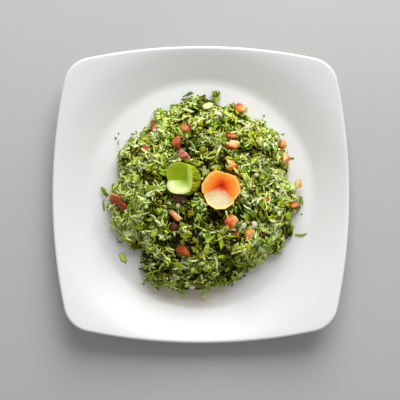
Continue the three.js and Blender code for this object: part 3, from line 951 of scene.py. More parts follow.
def core_points():
    """The mound, sunk a little and roughened, closed by a flat base.

    Points that would be inside a cup go straight down, in the cup's own axes, to below its foot.
    """
    low = np.linspace(0.3, 0.999, BASE_ROWS)[:, None]
    rise = np.linspace(0.999, 0, CORE_ROWS + 1)[:-1, None]
    angle = np.arange(CORE_COLUMNS)[None] * 2 * np.pi / CORE_COLUMNS
    share = np.sin(rise * np.pi / 2)
    surface = mound(angle, share)
    facing = mound_facing(angle, share)
    lift = lift_of(surface, share, -CORE_SINK)
    top = surface + facing * lift[..., None]
    for cup in (CARROT, CUCUMBER):
        own = (top - cup_foot(cup)) @ cup_axes(cup).T
        pressed = own * [1, 1, 0] - [0, 0, 0.6]
        under = np.hypot(own[..., 0], own[..., 1]) < taper(cup, own[..., 2]) + 0.2
        top = np.where(under[..., None], pressed @ cup_axes(cup) + cup_foot(cup), top)
    top[..., 2] = np.maximum(top[..., 2], HEAP_BASE)
    base = mound(angle, low)
    base[..., :2] = HEAP_CENTRE + (top[:1, :, :2] - HEAP_CENTRE) * low[..., None]
    base[..., 2] = HEAP_BASE
    peak = mound(np.zeros(1), np.zeros(1))
    peak[:, 2] -= CORE_SINK
    bottom = np.array([[*HEAP_CENTRE, HEAP_BASE]])
    return np.vstack([bottom, base.reshape(-1, 3), top.reshape(-1, 3), peak]), BASE_ROWS + CORE_ROWS


core, core_rings = core_points()
print("the core's top is at", core[:, 2].max().round(1), "mm")

# %% [markdown]
# Between the shreds one looks into the heap, where little light gets in and everything is wet. The
# core is painted as dark as that shade, a nearly black olive brown, and rough enough never to shine.

# %% Painted shade of the gaps, in wet olive brown
gap_shade = Finish("wet dark parsley", Roughness=0.75)
gap_shade.colour(
    gap_shade.ramp(gap_shade.noise(420, 4), (0.35, 0.030, 0.024, 0.002), (0.7, 0.11, 0.10, 0.010))
)
gap_shade.relief(gap_shade.noise(700, 3), 0.0012)

build("salad_core", core, ring_faces(core_rings, CORE_COLUMNS), gap_shade.material, "salad_heap", "salad")

# %% [markdown]
# ## Tomato and onion
# Dice cut by hand are boxes with soft corners and no two sides quite square. A superellipsoid
# is a sphere squared off by its power, so it gives the soft box directly, and a little shear
# and a few waves make each one different.

# %% Rounded blocks
def ball(rows, columns):
    """Directions of a sphere in rings from the south pole to the north, with both poles."""
    high = np.linspace(-np.pi / 2, np.pi / 2, rows + 2)[1:-1, None]
    turn = np.arange(columns)[None] * 2 * np.pi / columns
    rings = np.stack(
        [np.cos(high) * np.cos(turn), np.cos(high) * np.sin(turn), np.sin(high) + 0 * turn], axis=-1
    )
    return np.vstack([[[0, 0, -1.0]], rings.reshape(-1, 3), [[0, 0, 1.0]]])


def blocks(size, directions, power, random, unevenness, cuts=0):
    """Superellipsoids: every direction d is drawn out to |d| in the p-norm, times the half size.

    A cut flattens whatever reaches beyond a plane at some share of the shape's own reach.
    """
    squared = directions / (np.abs(directions) ** power).sum(1, keepdims=True) ** (1 / power)
    count = len(size)
    shapes = squared[None] * size[:, None] / 2
    shear = random.normal(0, unevenness, (count, 3, 3))
    shapes = shapes + np.einsum("nki,nij->nkj", shapes, shear)
    apart = 50 * np.arange(count)[:, None, None]
    shapes = shapes * (1 + 0.45 * unevenness * gaps(shapes + apart)[..., None])
    for _ in range(cuts):
        across = random.normal(size=(count, 1, 3))
        across /= np.linalg.norm(across, axis=-1, keepdims=True)
        reach = (shapes * across).sum(-1)
        limit = reach.max(axis=1, keepdims=True) * random.uniform(0.5, 0.85, (count, 1))
        shapes = shapes - np.maximum(reach - limit, 0)[..., None] * across
    return shapes


DICE_ROWS, DICE_COLUMNS = 15, 24
print("points on one dice:", len(ball(DICE_ROWS, DICE_COLUMNS)))

# %% Where the larger pieces lie
TOMATO_DICE = np.array(
    # x, y, length, width and thickness in mm, turn in degrees, how far the dice stands out in its
    # own thicknesses, and how ripe it is: 0 is pale core, 1 is red, and more is painted dark all
    # over, as shade on dice that lie in shade
    [
        [25, -22.4, 14, 10, 5, -65, 0.55, 0.5],
        [41, -34.5, 10, 8.5, 5, 20, 0.45, 0.62],
        [-16.3, -47.8, 11, 8.5, 5, 15, -0.1, 1.3],
        [-74.5, -4.3, 12, 9, 5, -10, 0, 1.2],
        [-12, 55.3, 9, 5.5, 4, 3, 0.5, 0.46],
        [-19.7, 44.9, 9, 6, 5, 60, 0, 0.85],
        [-47.3, 38.8, 11, 6, 4, -10, 0.7, 0.9],
        [36, 77.2, 14, 9.5, 5, 62, 0.25, 0.42],
        [26, 42.3, 10, 8, 5, -35, 0.1, 0.4],
        [26.8, 49.5, 11, 4, 3.5, 4, 0.9, 0.6],
        [71.4, 43.7, 8, 6, 5, 80, 0.1, 0.75],
        [70.4, 29.6, 8, 7, 5, 50, 0.8, 0.44],
        [25.4, 27, 11, 5, 4, -63, 0, 0.3],
        [81, 8.8, 11, 8, 5, 85, 1.1, 0.46],
        [77.2, -8.2, 8, 5.5, 4, 0, 1.5, 0.66],
        [-22, -18, 13, 6, 4, -41, -0.15, 0],
        [-41, 59, 7, 6, 4, 15, -0.1, 0.95],
        [73, -38.5, 7, 6, 4, 40, -0.5, 0.2],
        [29.2, -32.5, 7, 6, 4, -20, 0.4, 1],
        [-67.5, -9.2, 9, 6, 4, -50, 0.1, 1],
        [57.2, -3, 6, 5, 4, 20, -0.5, 0.3],
        [46.3, 59.6, 7, 6, 4, 25, -0.5, 0.3],
    ]
)
ONION_DICE = np.array(
    # in the same order, with how purple it is at the end
    [
        [-14.8, 33.6, 12, 7, 3, -35, 0.3, 0.5],
        [-19.5, -3.4, 11.5, 7, 3, -20, 0.7, 0.85],
        [68.3, 1.4, 7, 5, 3, 30, 0.2, 0.8],
        [14.5, 69.3, 8, 5.5, 3, -10, 0.3, 0.1],
        [-22.9, -27.8, 8, 6, 3, 60, -0.4, 0.95],
        [54.5, -34.9, 7, 4.5, 3, 80, -0.2, 0.85],
    ]
)
print("tomato dice:", len(TOMATO_DICE), "and dice of red onion:", len(ONION_DICE))

# %% Laying dice in the heap
def lay_dice(shapes, table, random):
    """Lays each shape at its row's place, and also gives its own axes and middle."""
    angle, share = share_above(table[:, 0], table[:, 1])
    place, facing = mound(angle, share), mound_facing(angle, share)
    place = place + facing * (table[:, 4] * table[:, 6])[:, None]
    turn = np.radians(table[:, 5])
    pitch = random.uniform(-0.25, 0.25, len(table))
    axes = np.repeat(np.eye(3)[None], len(table), axis=0)
    return lay(shapes, place, facing, turn, pitch), lay(axes, 0 * place, facing, turn, pitch), place


DICE_GROWTH = [1.02, 1.05, 1.3]  # makes up for what the cuts take off
MOST_WEDGE = 0.35
random = np.random.default_rng(22)
dice = blocks(
    TOMATO_DICE[:, 2:5] * DICE_GROWTH, ball(DICE_ROWS, DICE_COLUMNS), 5, random, 0.14, cuts=4
)
wedge = random.uniform(-MOST_WEDGE, MOST_WEDGE, (len(dice), 1)) * dice[..., 0] / TOMATO_DICE[:, 2:3]
dice[..., 1:] *= 1 + 2 * wedge[..., None]
tomato, tomato_axes, tomato_middles = lay_dice(dice, TOMATO_DICE, random)
print("the highest dice has its middle at", tomato_middles[:, 2].max().round(1), "mm")

# %% [markdown]
# A dice of tomato has one side of glossy skin, and its flesh is redder near that side and paler
# and more orange towards the core, with pale watery veins. The same pale spots also paint
# highlights on the flesh. The dice stores how near each point is to the skin, and the noise
# supplies the veins and the painted highlights. Dice that lie in shade are painted dark all over.

# %% Tomato
tomato_finish = Finish(
    "tomato", Roughness=0.26, Specular_IOR_Level=0.35, Subsurface_Weight=0.2, Subsurface_Scale=0.002
)
tomato_finish.shader.inputs["Subsurface Radius"].default_value = (1.0, 0.25, 0.1)
# Noise for the pale veins, which also paint highlights.
SPOT_STRENGTH = 1.3
SPOT_MIDDLE = 0.63
veins_and_highlights = tomato_finish.math("MULTIPLY", tomato_finish.noise(260, 3), SPOT_STRENGTH)
with_veins_and_highlights = tomato_finish.math("ADD", tomato_finish.stored("ripe"), veins_and_highlights)
tomato_finish.colour(
    tomato_finish.ramp(
        tomato_finish.math("SUBTRACT", with_veins_and_highlights, SPOT_MIDDLE),
        (0.0, 0.82, 0.64, 0.26),
        (0.2, 0.84, 0.54, 0.19),
        (0.42, 0.86, 0.28, 0.05),
        (0.72, 0.78, 0.13, 0.016),
        (1.0, 0.30, 0.06, 0.012),
    )
)
tomato_finish.relief(tomato_finish.noise(330, 4), 0.0008)
print("nodes in the tomato's finish:", len(tomato_finish.tree.nodes))

# %% Skin on one side of each dice
skin_side = random.normal(size=(len(tomato), 3)) * [1, 1, 0.6]
skin_side[0] = [0, -1, 0]  # the largest one and the one at the back show their skin
skin_side[7] = [0, 1, 0]
skin_side /= np.linalg.norm(skin_side, axis=-1, keepdims=True)
to_skin = ball(DICE_ROWS, DICE_COLUMNS) @ skin_side.T
# Redder towards the skin; the dice with values past 1 are painted dark all over, as shade.
ripe = np.clip(TOMATO_DICE[:, 7:8] + 0.5 * to_skin.T, -0.1, 1.1)
dice_faces = ring_faces(DICE_ROWS, DICE_COLUMNS)
build_kind("tomato_dice", tomato, dice_faces, tomato_finish.material, ripe=ripe)

# %% [markdown]
# Red onion is layered, so one cut piece is a small stack of bent scales. Each scale is purple
# on its outer side and nearly white on the inner one, and that makes the fine purple lines.

# %% Red onion
ONION_SCALES = 3
SCALE_ROWS, SCALE_COLUMNS = 9, 24


def onion_scales(sizes, random):
    """For each size, thin blocks one above the other, all bent down along their length."""
    length, width, thickness = np.repeat(sizes, ONION_SCALES, axis=0).T
    level = np.tile(np.arange(ONION_SCALES) - (ONION_SCALES - 1) / 2, len(sizes))
    shrink = 1 - 0.1 * (level + 1)
    thick = thickness / ONION_SCALES
    size = np.stack([length * shrink, width * shrink, thick * 0.92], axis=1)
    shapes = blocks(size, ball(SCALE_ROWS, SCALE_COLUMNS), 5, random, 0.08, cuts=2)
    bend = 0.55 / length
    shapes[..., 2] -= bend[:, None] * shapes[..., 0] ** 2
    shapes[..., 2] += (level * thick)[:, None]
    return shapes.reshape(len(sizes), -1, 3)


print("scales in a piece of onion:", ONION_SCALES)

# %% Where the onion lies
WHITE_ONION = np.array(
    # small pieces from the pale inner scales, from x to turn
    [
        [-1.6, -32.8, 6.0, 4.3, 3, 0],
        [-19.4, -9.5, 4.3, 3.4, 3, 90],
        [44.3, 9.9, 6.0, 5.1, 3, 60],
        [47.3, 16.7, 4.3, 3.4, 3, 60],
        [35.2, -26.9, 8.6, 5.1, 3, -20],
        [46.0, -26.1, 7.7, 4.3, 3, 75],
        [-7.7, -79.8, 6.1, 3.5, 3, 0],
        [18.1, -34.6, 3.4, 2.6, 3, 0],
        [-39.7, 55.2, 6.1, 2.6, 3, 0],
    ]
)
stands_out = np.full(len(WHITE_ONION), 0.2)
purple = np.linspace(-0.2, 0.1, len(WHITE_ONION))
ONION = np.vstack([ONION_DICE, np.column_stack([WHITE_ONION, stands_out, purple])])
ONION_GROWTH = [1, 1, 1.25]
onion, onion_axes, onion_middles = lay_dice(
    onion_scales(ONION[:, 2:5] * ONION_GROWTH, random), ONION, random
)
print("pieces of onion:", len(onion))

# %% Colour of the onion
onion_finish = Finish("red onion", Roughness=0.28, Subsurface_Weight=0.1, Subsurface_Scale=0.002)
lines = onion_finish.math("MULTIPLY", onion_finish.noise(520, 2), 0.5)
onion_finish.colour(
    onion_finish.ramp(
        onion_finish.math("ADD", onion_finish.stored("outer"), lines),
        (0.3, 0.80, 0.74, 0.50),
        (0.5, 0.72, 0.52, 0.36),
        (0.72, 0.54, 0.15, 0.085),
        (0.95, 0.24, 0.06, 0.024),
        (1.0, 0.14, 0.038, 0.014),
    )
)
onion_finish.relief(onion_finish.noise(600, 2), 0.0003)
above = ball(SCALE_ROWS, SCALE_COLUMNS)[:, 2]
own_purple = np.repeat(ONION[:, 7:8], ONION_SCALES, axis=0)
outer_side = own_purple * (0.75 + 0.3 * above) - 0.1 * (1 - above)
build_kind(
    "onion_scales",
    onion.reshape(-1, len(above), 3),
    ring_faces(SCALE_ROWS, SCALE_COLUMNS),
    onion_finish.material,
    outer=np.clip(outer_side, 0, 1),
)

# %% [markdown]
# ## Scraps of leaf
# Here and there a wider scrap of leaf escaped the knife. It is a thin pillow on a polar grid.
# Lobes and a straight knife cut shape its outline, and it is creased along its vein. The largest
# scraps lie on top of everything else, so they get their places first, each its own.

# %% Leaf scraps
LEAF_COLUMNS = 12
SCRAP_THICKNESS = 0.35


def leaf_scraps(length, width, random, thickness=SCRAP_THICKNESS):
    """Outline: an ellipse times 1 + lobes of a cosine wave, cut off straight on one side.

    Height: the crease times |y|, plus a bow along x squared and a small wave.
    """
    count = len(length)
    turn = np.arange(LEAF_COLUMNS)[None] * 2 * np.pi / LEAF_COLUMNS
    lobes = 0.16 * np.cos(random.integers(3, 6, (count, 1)) * turn + random.uniform(0, 6.3, (count, 1)))
    towards_cut = np.cos(turn - random.uniform(0, 6.3, (count, 1)))
    cut = random.uniform(0.45, 1.0, (count, 1)) / np.maximum(towards_cut, 0.2)
    reach = np.minimum(1 + lobes, cut)
    outline_x = reach * np.cos(turn) * length[:, None] / 2
    outline_y = reach * np.sin(turn) * width[:, None] / 2
    share = np.array([0.55, 1.0, 0.55])[None, :, None]
    side = np.array([-0.5, 0, 0.5])[None, :, None] * thickness
    x, y = outline_x[:, None] * share, outline_y[:, None] * share
    crease = random.uniform(0.0, 0.6, (count, 1, 1))
    bow = random.normal(0, 0.035, (count, 1, 1))
    wave = random.uniform(0.1, 0.45, (count, 1, 1))
    z = crease * np.abs(y) + bow * x**2 + wave * np.sin(1.1 * x + 1.7 * y) + side
    rings = np.stack([x, y, z], axis=-1).reshape(count, -1, 3)
    pole = np.zeros((count, 1, 3))
    return np.concatenate([pole - [0, 0, thickness / 2], rings, pole + [0, 0, thickness / 2]], axis=1)


print("points on one scrap of leaf:", 2 + 3 * LEAF_COLUMNS)

# %% Where the large scraps lie
LARGE_SCRAPS = np.array(
    # x, y, length and width in mm, turn in degrees, tone, and how fresh
    [
        [-63, -34, 14, 5.2, 15, 0.97, 1],
        [-53, -28, 10, 6, 0, 0.62, 0.5],
        [-40, -32, 11, 6.4, 80, 0.85, 0.3],
        [-17, 53, 10, 3.4, -60, 0.85, 1],
        [-30, 66, 10, 6, 30, 0.9, 0.5],
        [-32, 59, 9, 4.3, 20, 0.85, 0.5],
        [-48, 49, 10, 5.2, 10, 0.68, 0],
        [-44, 5, 10, 5, 25, 0.58, 0.8],
        [-35, 6, 8, 3.8, 10, 0.85, 1],
        [0, 61, 6, 4.3, 90, 0.62, 0],
        [32, 59, 8, 5.2, -30, 0.6, 0.3],
        [6, 77, 11, 7, 20, 1, 0.7],
        [-57, 16, 16, 4.3, -75, 0.85, 0.6],
        [5, -47, 13, 4.3, 75, 0.8, 0.4],
        [17, -39, 17, 4.3, -80, 0.7, 0.3],
        [44, -48, 10, 7.8, 45, 0.72, 0.5],
        [39, -13, 10, 4.3, -45, 0.55, 1],
        [45, -17, 9, 4.3, -50, 0.5, 1],
        [38, 16, 17, 5, -75, 0.85, 0.7],
        [53, 16, 7, 6.5, 0, 0.7, 0.4],
        [59, 51, 8, 5.2, 60, 1, 0.9],
        [70, 9, 11, 3.5, -20, 0.95, 0.4],
        [-16, -40, 4, 3.4, 30, 0.85, 1],
        [-45, -72, 10, 7.9, 0, 0.55, 0],
        [-13, -35, 11, 5, 0, 0.57, 0.1],
        [-23, -9, 7, 5, 45, 0.6, 0.8],
        [25, 69, 15, 4.3, -30, 0.85, 0.5],
        [88, -4, 6, 5.3, 60, 0.55, 0.9],
        [14, 89, 8, 6.2, 60, 0.5, 0.8],
        [-11, 88, 11, 3.5, 35, 0.35, 0.8],
        [-85, 4, 9, 5.3, -50, 0.6, 0.6],
        [-77, 7, 6, 3.5, 80, 0.5, 0.8],
        [13, 86, 7, 5.2, 70, 0.55, 0.7],
        [16, 91, 6, 4.3, 50, 0.6, 0.6],
        [11, 90, 5, 3.4, 100, 0.5, 0.8],
        [14, 83, 7, 5.2, 0, 0.6, 0.7],
        [-15, 84, 6, 3.4, 30, 0.4, 0.8],
        [-10, 89, 7, 3, 50, 0.35, 0.9],
        [-12, 83, 7, 4, 10, 0.5, 0.6],
        [-87, 5, 5, 3.4, -45, 0.6, 0.6],
        [-84, 1, 7, 4.3, -50, 0.55, 0.5],
        [89, -7, 5, 3.4, -70, 0.55, 0.8],
        [80, -29, 6, 4.3, 60, 0.6, 0.8],
        [-49, -76, 5, 3.4, 20, 0.5, 0.1],
        [-60, 53, 6, 2.6, -20, 0.5, 0.7],
        [-57, 55, 4, 1.3, 100, 0.55, 0.7],
        [-73, 46, 5, 1.2, 95, 0.45, 0.8],
        [62, 54, 7, 4.3, -60, 0.6, 0.3],
        [6, -82, 5, 1.8, 90, 0.6, 0.6],
        [-18, -77, 7, 5.2, 30, 0.5, 0.5],
        [54, -47, 9, 2, -50, 0.95, 0.9],
        [60, -50, 9, 2.6, -10, 0.85, 0.7],
    ]
)
print("large scraps of leaf:", len(LARGE_SCRAPS))

# %% Laying scraps on top
SCRAP_LIFT = 2.6


def lay_flat(shapes, table, lift, random):
    """Lays shapes at their own places, leaned only half as far out as the mound does there.

    As with dice, their own axes and middles come back as well.
    """
    angle, share = share_above(table[:, 0], table[:, 1])
    place, facing = settle(angle, share, lift)
    facing = facing + [0, 0, 1]
    facing /= np.linalg.norm(facing, axis=1, keepdims=True)
    place[:, :2] = table[:, :2]
    tilt = random.uniform(-0.2, 0.2, (2, len(table)))
    turn = np.radians(table[:, 4])
    axes = np.repeat(np.eye(3)[None], len(table), axis=0)
    own_axes = lay(axes, 0 * place, facing, turn, *tilt)
    return lay(shapes, place, facing, turn, *tilt), own_axes, place


random = np.random.default_rng(7)
large_scraps, large_axes, large_middles = lay_flat(
    leaf_scraps(*LARGE_SCRAPS[:, 2:4].T, random), LARGE_SCRAPS, SCRAP_LIFT, random
)
print("the highest scrap has its middle at", large_middles[:, 2].max().round(1), "mm")

# %% [markdown]
# ## Keeping clear
# The loose shreds mustn't poke through the cups or bury the larger pieces. Each of these can
# say which points lie inside it, in its own axes, and a shred with such a point is left out.
# A large scrap of leaf counts as a block of its own size that reaches a few millimetres up.

# %% What is already in the way
def inside_cup(points, cup, clearance=0.25):
    """Within the uncut stub, grown by a clearance."""
    own = (points - cup_foot(cup)) @ cup_axes(cup).T
    radius = np.hypot(own[..., 0], own[..., 1])
    reach = taper(cup, own[..., 2]) + clearance
    return (radius < reach) & (own[..., 2] > -clearance) & (own[..., 2] < cup["height"])


SCRAP_COVER = 7.0
scrap_sizes = LARGE_SCRAPS[:, 2:5] * [1, 1, 0] + [0, 0, SCRAP_THICKNESS]
IN_THE_WAY = (
    # length, width and thickness, own axes, middles, and how much higher they count
    (TOMATO_DICE[:, 2:5], tomato_axes, tomato_middles, 0.0),
    (ONION[:, 2:5], onion_axes, onion_middles, 0.0),
    (scrap_sizes, large_axes, large_middles, SCRAP_COVER),
)
BURIED_SHARE = 0.7  # a shred may still overlap the outer part of a block


def inside_block(points, middle, axes, size, cover):
    """Within a block that is taken as taller by its cover, so that little lies on top of it."""
    own = (points - middle) @ axes.T
    own[..., 2] -= cover / 2
    half = np.array([size[0], size[1], size[2] + cover]) / 2 * BURIED_SHARE
    return (np.abs(own / half) ** 4).sum(-1) < 1


def clear_of_all(pieces):
    """Which pieces have no point in a cup, in a larger piece or past the plate's flat floor."""
    blocked = inside_cup(pieces, CARROT) | inside_cup(pieces, CUCUMBER)
    for sizes, axes, middles, cover in IN_THE_WAY:
        for size, own_axes, middle in zip(sizes, axes, middles):
            blocked |= inside_block(pieces, middle, own_axes, size, cover)
    too_wide = np.hypot(pieces[..., 0], pieces[..., 1]) > FLOOR_RADIUS - 0.5
    return ~(blocked | too_wide).any(axis=1)


carrot_middle = CARROT["mouth_centre"] - [0, 0, 3]
print("a point in the carrot is blocked:", bool(inside_cup(carrot_middle, CARROT)))

# %% Spreading a kind over the heap
combing = waves_through_space(17, 20, 14, 30)
SNUG_SHARE = 0.93  # the others stand out a little further
STANDS_OUT = 2.5
MOST_LIFT = 5.0
REST_GAP = 0.25


def spread_over_heap(shapes, random, start, depth, pitch, roll):
    """Lays a kind evenly over the mound and lifts what would reach into the plate.

    Neighbours that fell together point more or less the same way. What would need too much of a
    lift, or is in the way of a larger piece, is left out.
    """
    count = len(shapes)
    angle, share = scatter(count, random, start)
    stands_out = STANDS_OUT * (random.uniform(0, 1, count) > SNUG_SHARE)
    place, facing = settle(angle, share, random.uniform(*depth, count) + stands_out)
    turn = 4 * combing(place) + random.normal(0, 1.0, count)
    tip = random.uniform(-pitch, pitch, count)
    lurch = random.uniform(-roll, roll, count)
    laid = lay(shapes, place, facing, turn, tip, lurch)
    short = FLOOR_TOP + REST_GAP - laid[..., 2].min(axis=1)
    laid[..., 2] += np.maximum(short, 0)[:, None]
    return laid[clear_of_all(laid) & (short < MOST_LIFT)]


print(f"share of the shreds that stand out: {1 - SNUG_SHARE:.0%}")

# %% [markdown]
# ## Chopped parsley
# A knife turns flat leaves into narrow ribbons and angular bits. Each ribbon here is a flat V,
# carried along a path that bends, arches and twists. Each bit is a flake with uneven corners that
# is folded along its vein. A ribbon has forty triangles and a bit thirty-two, so the heap can
# hold thousands of both at their true size.

# %% Ribbons along curling paths
STATIONS = np.array([-1, -0.82, -0.42, 0, 0.42, 0.82, 1.0])


def ribbons(length, width, curl, arch, twist, fold, thickness):
    """All ribbons of a kind at once, one row of points each.

    With s from -1 to 1 along it, the path's heading is the curl times s plus half as much of
    its square, its height is the arch times 1 - s^2, and the section is turned by twist times s
    and is as wide as (1 - s^2)^0.45.
    """
    s = STATIONS
    between = (s[1:] + s[:-1]) / 2
    heading = curl[:, None] * between + 0.5 * curl[::-1, None] * between**2
    steps = length[:, None] / 2 * np.diff(s)
    start = np.zeros((len(length), 1))
    x = np.cumsum(np.hstack([start, steps * np.cos(heading)]), axis=1)
    y = np.cumsum(np.hstack([start, steps * np.sin(heading)]), axis=1)
    z = arch[:, None] * (1 - s**2)
    path = np.stack([x - x.mean(1, keepdims=True), y - y.mean(1, keepdims=True), z], axis=-1)
    ahead = curl[:, None] * s + 0.5 * curl[::-1, None] * s**2
    spin = twist[:, None] * s
    level = np.stack([-np.sin(ahead), np.cos(ahead), 0 * ahead], axis=-1)
    upward = np.array([0, 0, 1.0])
    cos, sin = np.cos(spin)[..., None], np.sin(spin)[..., None]
    side, top = cos * level + sin * upward, cos * upward - sin * level
    half = (width[:, None] / 2 * np.clip(1 - s**2, 0, 1) ** 0.45)[..., None]
    raised = fold[:, None, None] * half * top
    skin = thickness / 2 * top
    section = np.stack([side * half + raised, skin + 0 * side, raised - side * half, -skin + 0 * side])
    rings = path[:, 1:-1, None] + np.moveaxis(section, 0, 2)[:, 1:-1]
    body = rings.reshape(len(length), -1, 3)
    return np.concatenate([path[:, :1], body, path[:, -1:]], axis=1)


RIBBON_FACES = ring_faces(len(STATIONS) - 2, 4)
print("faces on a ribbon:", sum(len(group) for group in RIBBON_FACES))

# %% Angular bits
BIT_CORNERS = 8
BIT_FACES = ring_faces(2, BIT_CORNERS)


def bits(length, width, random, thickness):
    """Flakes: an outline of eight uneven corners, folded along its length and bent.

    A corner in direction t lies at 1 / (|cos t|^p + |sin t|^p)^(1/p) of the half length and half
    width, which is a lozenge at p = 1 and nearly a rectangle at p = 3. Its height is the fold
    times |y|, plus the bend times x squared, plus a random part of its own.
    """
    count = len(length)
    turn = np.arange(BIT_CORNERS) + random.uniform(-0.3, 0.3, (count, BIT_CORNERS))
    turn = turn * 2 * np.pi / BIT_CORNERS
    power = random.uniform(0.9, 2.6, (count, 1))
    spread = (np.abs(np.cos(turn)) ** power + np.abs(np.sin(turn)) ** power) ** (-1 / power)
    spread = spread * random.uniform(0.72, 1.15, (count, BIT_CORNERS))
    x = spread * np.cos(turn) * length[:, None] / 2
    y = spread * np.sin(turn) * width[:, None] / 2
    fold = random.normal(0, 0.5, (count, 1))
    bend = random.normal(0, 0.06, (count, 1))
    z = fold * np.abs(y) + bend * x**2 + random.normal(0, 0.12, (count, BIT_CORNERS))
    rim = np.stack([x, y, z], axis=-1)
    middle = np.zeros((count, 1, 3))
    down = np.array([0, 0, thickness / 2])
    return np.concatenate([middle - down, rim - down, rim + down, middle + down], axis=1)


print("faces on a bit:", sum(len(group) for group in BIT_FACES))

# %% [markdown]
# No two leaves are the same green. Each piece stores a tone, from nearly black to nearly white,
# and a freshness, which picks between olive and fresh green. The mottling shifts the tone a
# little within a piece, as veins and bruises do.

# %% Parsley green
# The darkest stops of both ramps paint the shade between the shreds, and the palest, nearly white ones
# paint the glints of the dressing on the leaves.
OLIVE = (
    (0.0, 0.012, 0.008, 0.0002),
    (0.25, 0.090, 0.064, 0.0006),
    (0.5, 0.29, 0.255, 0.002),
    (0.75, 0.58, 0.62, 0.018),
    (0.88, 0.74, 0.80, 0.13),
    (1.0, 0.87, 0.95, 0.40),
)
FRESH = (
    (0.0, 0.004, 0.009, 0.0002),
    (0.25, 0.030, 0.066, 0.0006),
    (0.5, 0.13, 0.26, 0.002),
    (0.75, 0.40, 0.63, 0.02),
    (0.88, 0.62, 0.82, 0.14),
    (1.0, 0.82, 0.97, 0.45),
)
MOTTLING = 0.24


def parsley(name, roughness=0.33, shine=0.22):
    """Leaf by tone and freshness, mottled by fine noise, with the shine of the dressing."""
    leaf = Finish(name, Roughness=roughness, Specular_IOR_Level=shine)
    mottle = leaf.noise(700, 3)
    shade = leaf.math("ADD", leaf.stored("tone"), leaf.math("MULTIPLY", mottle, MOTTLING))
    shade = leaf.math("SUBTRACT", shade, MOTTLING / 2)
    leaf.colour(leaf.blend(leaf.stored("fresh"), leaf.ramp(shade, *OLIVE), leaf.ramp(shade, *FRESH)))
    leaf.relief(mottle, 0.0004)
    return leaf.material


print("the palest olive is", OLIVE[-1][1:], "and the palest fresh green", FRESH[-1][1:])

# %% [markdown]
# The heap is laid in three greens: dark ones deep down, which one sees in the gaps and which are
# painted dark as the shade there, then the mass of middle green, and pale ones on top, where
# clusters stand out. Holes between clusters lose most of what would fill them.

# %% One kind of parsley
GREENS = {
    # mean tone, depth from the heap's surface in mm, share that is kept, and by how much more on
    # clumps and less in holes
    "dark": (0.20, (-4.4, 0.2), 1.0, 0.0, 0.0),
    "green": (0.46, (-3.0, 1.4), 0.9, 0.25, 0.9),
    "pale": (0.88, (-1.4, 2.6), 0.55, 0.55, 1.2),
}
SHINE = {"dark": 0.06, "green": 0.15, "pale": 0.38}
clumps = waves_through_space(6, 30, 8, 24)


def shades_of(pieces, mean, random, spread=0.14):
    """Tone and freshness for each point: its patch's and its clump's, and a part of its own."""
    middle = pieces.mean(axis=1, keepdims=True)
    own = random.normal(0, spread, (len(pieces), 1)) + 0 * pieces[..., 0]
    tone = mean + 0.15 * clumps(middle) + 0.12 * pale_patches_and_painted_light(middle) + own
    fresh = random.uniform(-0.15, 1.1, (len(pieces), 1)) + 0.3 * handfuls(1.7 * middle + 40)
    return np.clip(tone, 0, 1), np.clip(fresh + 0 * own, 0, 1)


def parsley_piece(name, shapes, faces, random, start, green, pitch, roll):
    """Spreads shapes over the heap, thins them out and gives them their shades."""
    mean, depth, kept, by_clump, in_holes = GREENS[green]
    laid = spread_over_heap(shapes, random, start, depth, pitch, roll)
    middle = laid.mean(axis=1)
    share = kept + by_clump * (clumps(middle) + pale_patches_and_painted_light(middle)) - in_holes * emptiness(middle)
    laid = laid[random.uniform(0, 1, len(laid)) < share]
    tone, fresh = shades_of(laid, mean, random)
    leaf = parsley(name.replace("_", " "), shine=SHINE[green])
    build_kind(name, laid, faces, leaf, crisp=True, tone=tone, fresh=fresh)


print("mean tones:", ", ".join(f"{green} {values[0]}" for green, values in GREENS.items()))

# %% Ribbons and bits in three greens
COUNTS = {"dark": (1400, 3400), "green": (3200, 4600), "pale": (6800, 6400)}
for number, (green, (ribbon_count, bit_count)) in enumerate(COUNTS.items()):
    random = np.random.default_rng(100 + number)
    shapes = ribbons(
        length=5 + 11 * random.beta(1.5, 2.3, ribbon_count),
        width=random.uniform(1.3, 2.8, ribbon_count),
        curl=random.normal(0, 0.65, ribbon_count),
        arch=random.normal(0.4, 0.9, ribbon_count),
        twist=random.normal(0, 0.9, ribbon_count),
        fold=random.normal(0, 0.5, ribbon_count),
        thickness=0.3,
    )
    parsley_piece(
        "ribbons_" + green, shapes, RIBBON_FACES, random, number * 2.1, green, pitch=0.5, roll=1.2
    )
    shapes = bits(
        2.8 + 8 * random.beta(1.3, 3.2, bit_count),
        1.5 + 4.5 * random.beta(1.3, 3.2, bit_count),
        random,
        thickness=0.22,
    )
    parsley_piece(
        "bits_" + green, shapes, BIT_FACES, random, number * 1.3 + 0.5, green, pitch=0.7, roll=1.2
    )

# %% [markdown]
# Smaller scraps of leaf are strewn like the ribbons and bits, and join the large ones in one
# piece.

# %% Strewn scraps
random = np.random.default_rng(11)
LEAF_COUNT = 520
scraps = leaf_scraps(
    random.uniform(4.5, 10, LEAF_COUNT), random.uniform(3, 6.5, LEAF_COUNT), random
)
laid = spread_over_heap(scraps, random, 0.7, (0.0, 2.4), pitch=0.5, roll=0.6)
laid = laid[random.uniform(0, 1, len(laid)) < 0.9 - emptiness(laid.mean(axis=1))]
tone, fresh = shades_of(laid, 0.58, random, spread=0.16)
laid = np.vstack([laid, large_scraps])
tone = np.vstack([tone, LARGE_SCRAPS[:, 5:6] + 0 * large_scraps[..., 0]])
fresh = np.vstack([fresh, LARGE_SCRAPS[:, 6:7] + 0 * large_scraps[..., 0]])
leaf = parsley("leaf scraps", 0.36, 0.25)
build_kind("leaf_scraps", laid, ring_faces(3, LEAF_COLUMNS), leaf, crisp=True, tone=tone, fresh=fresh)

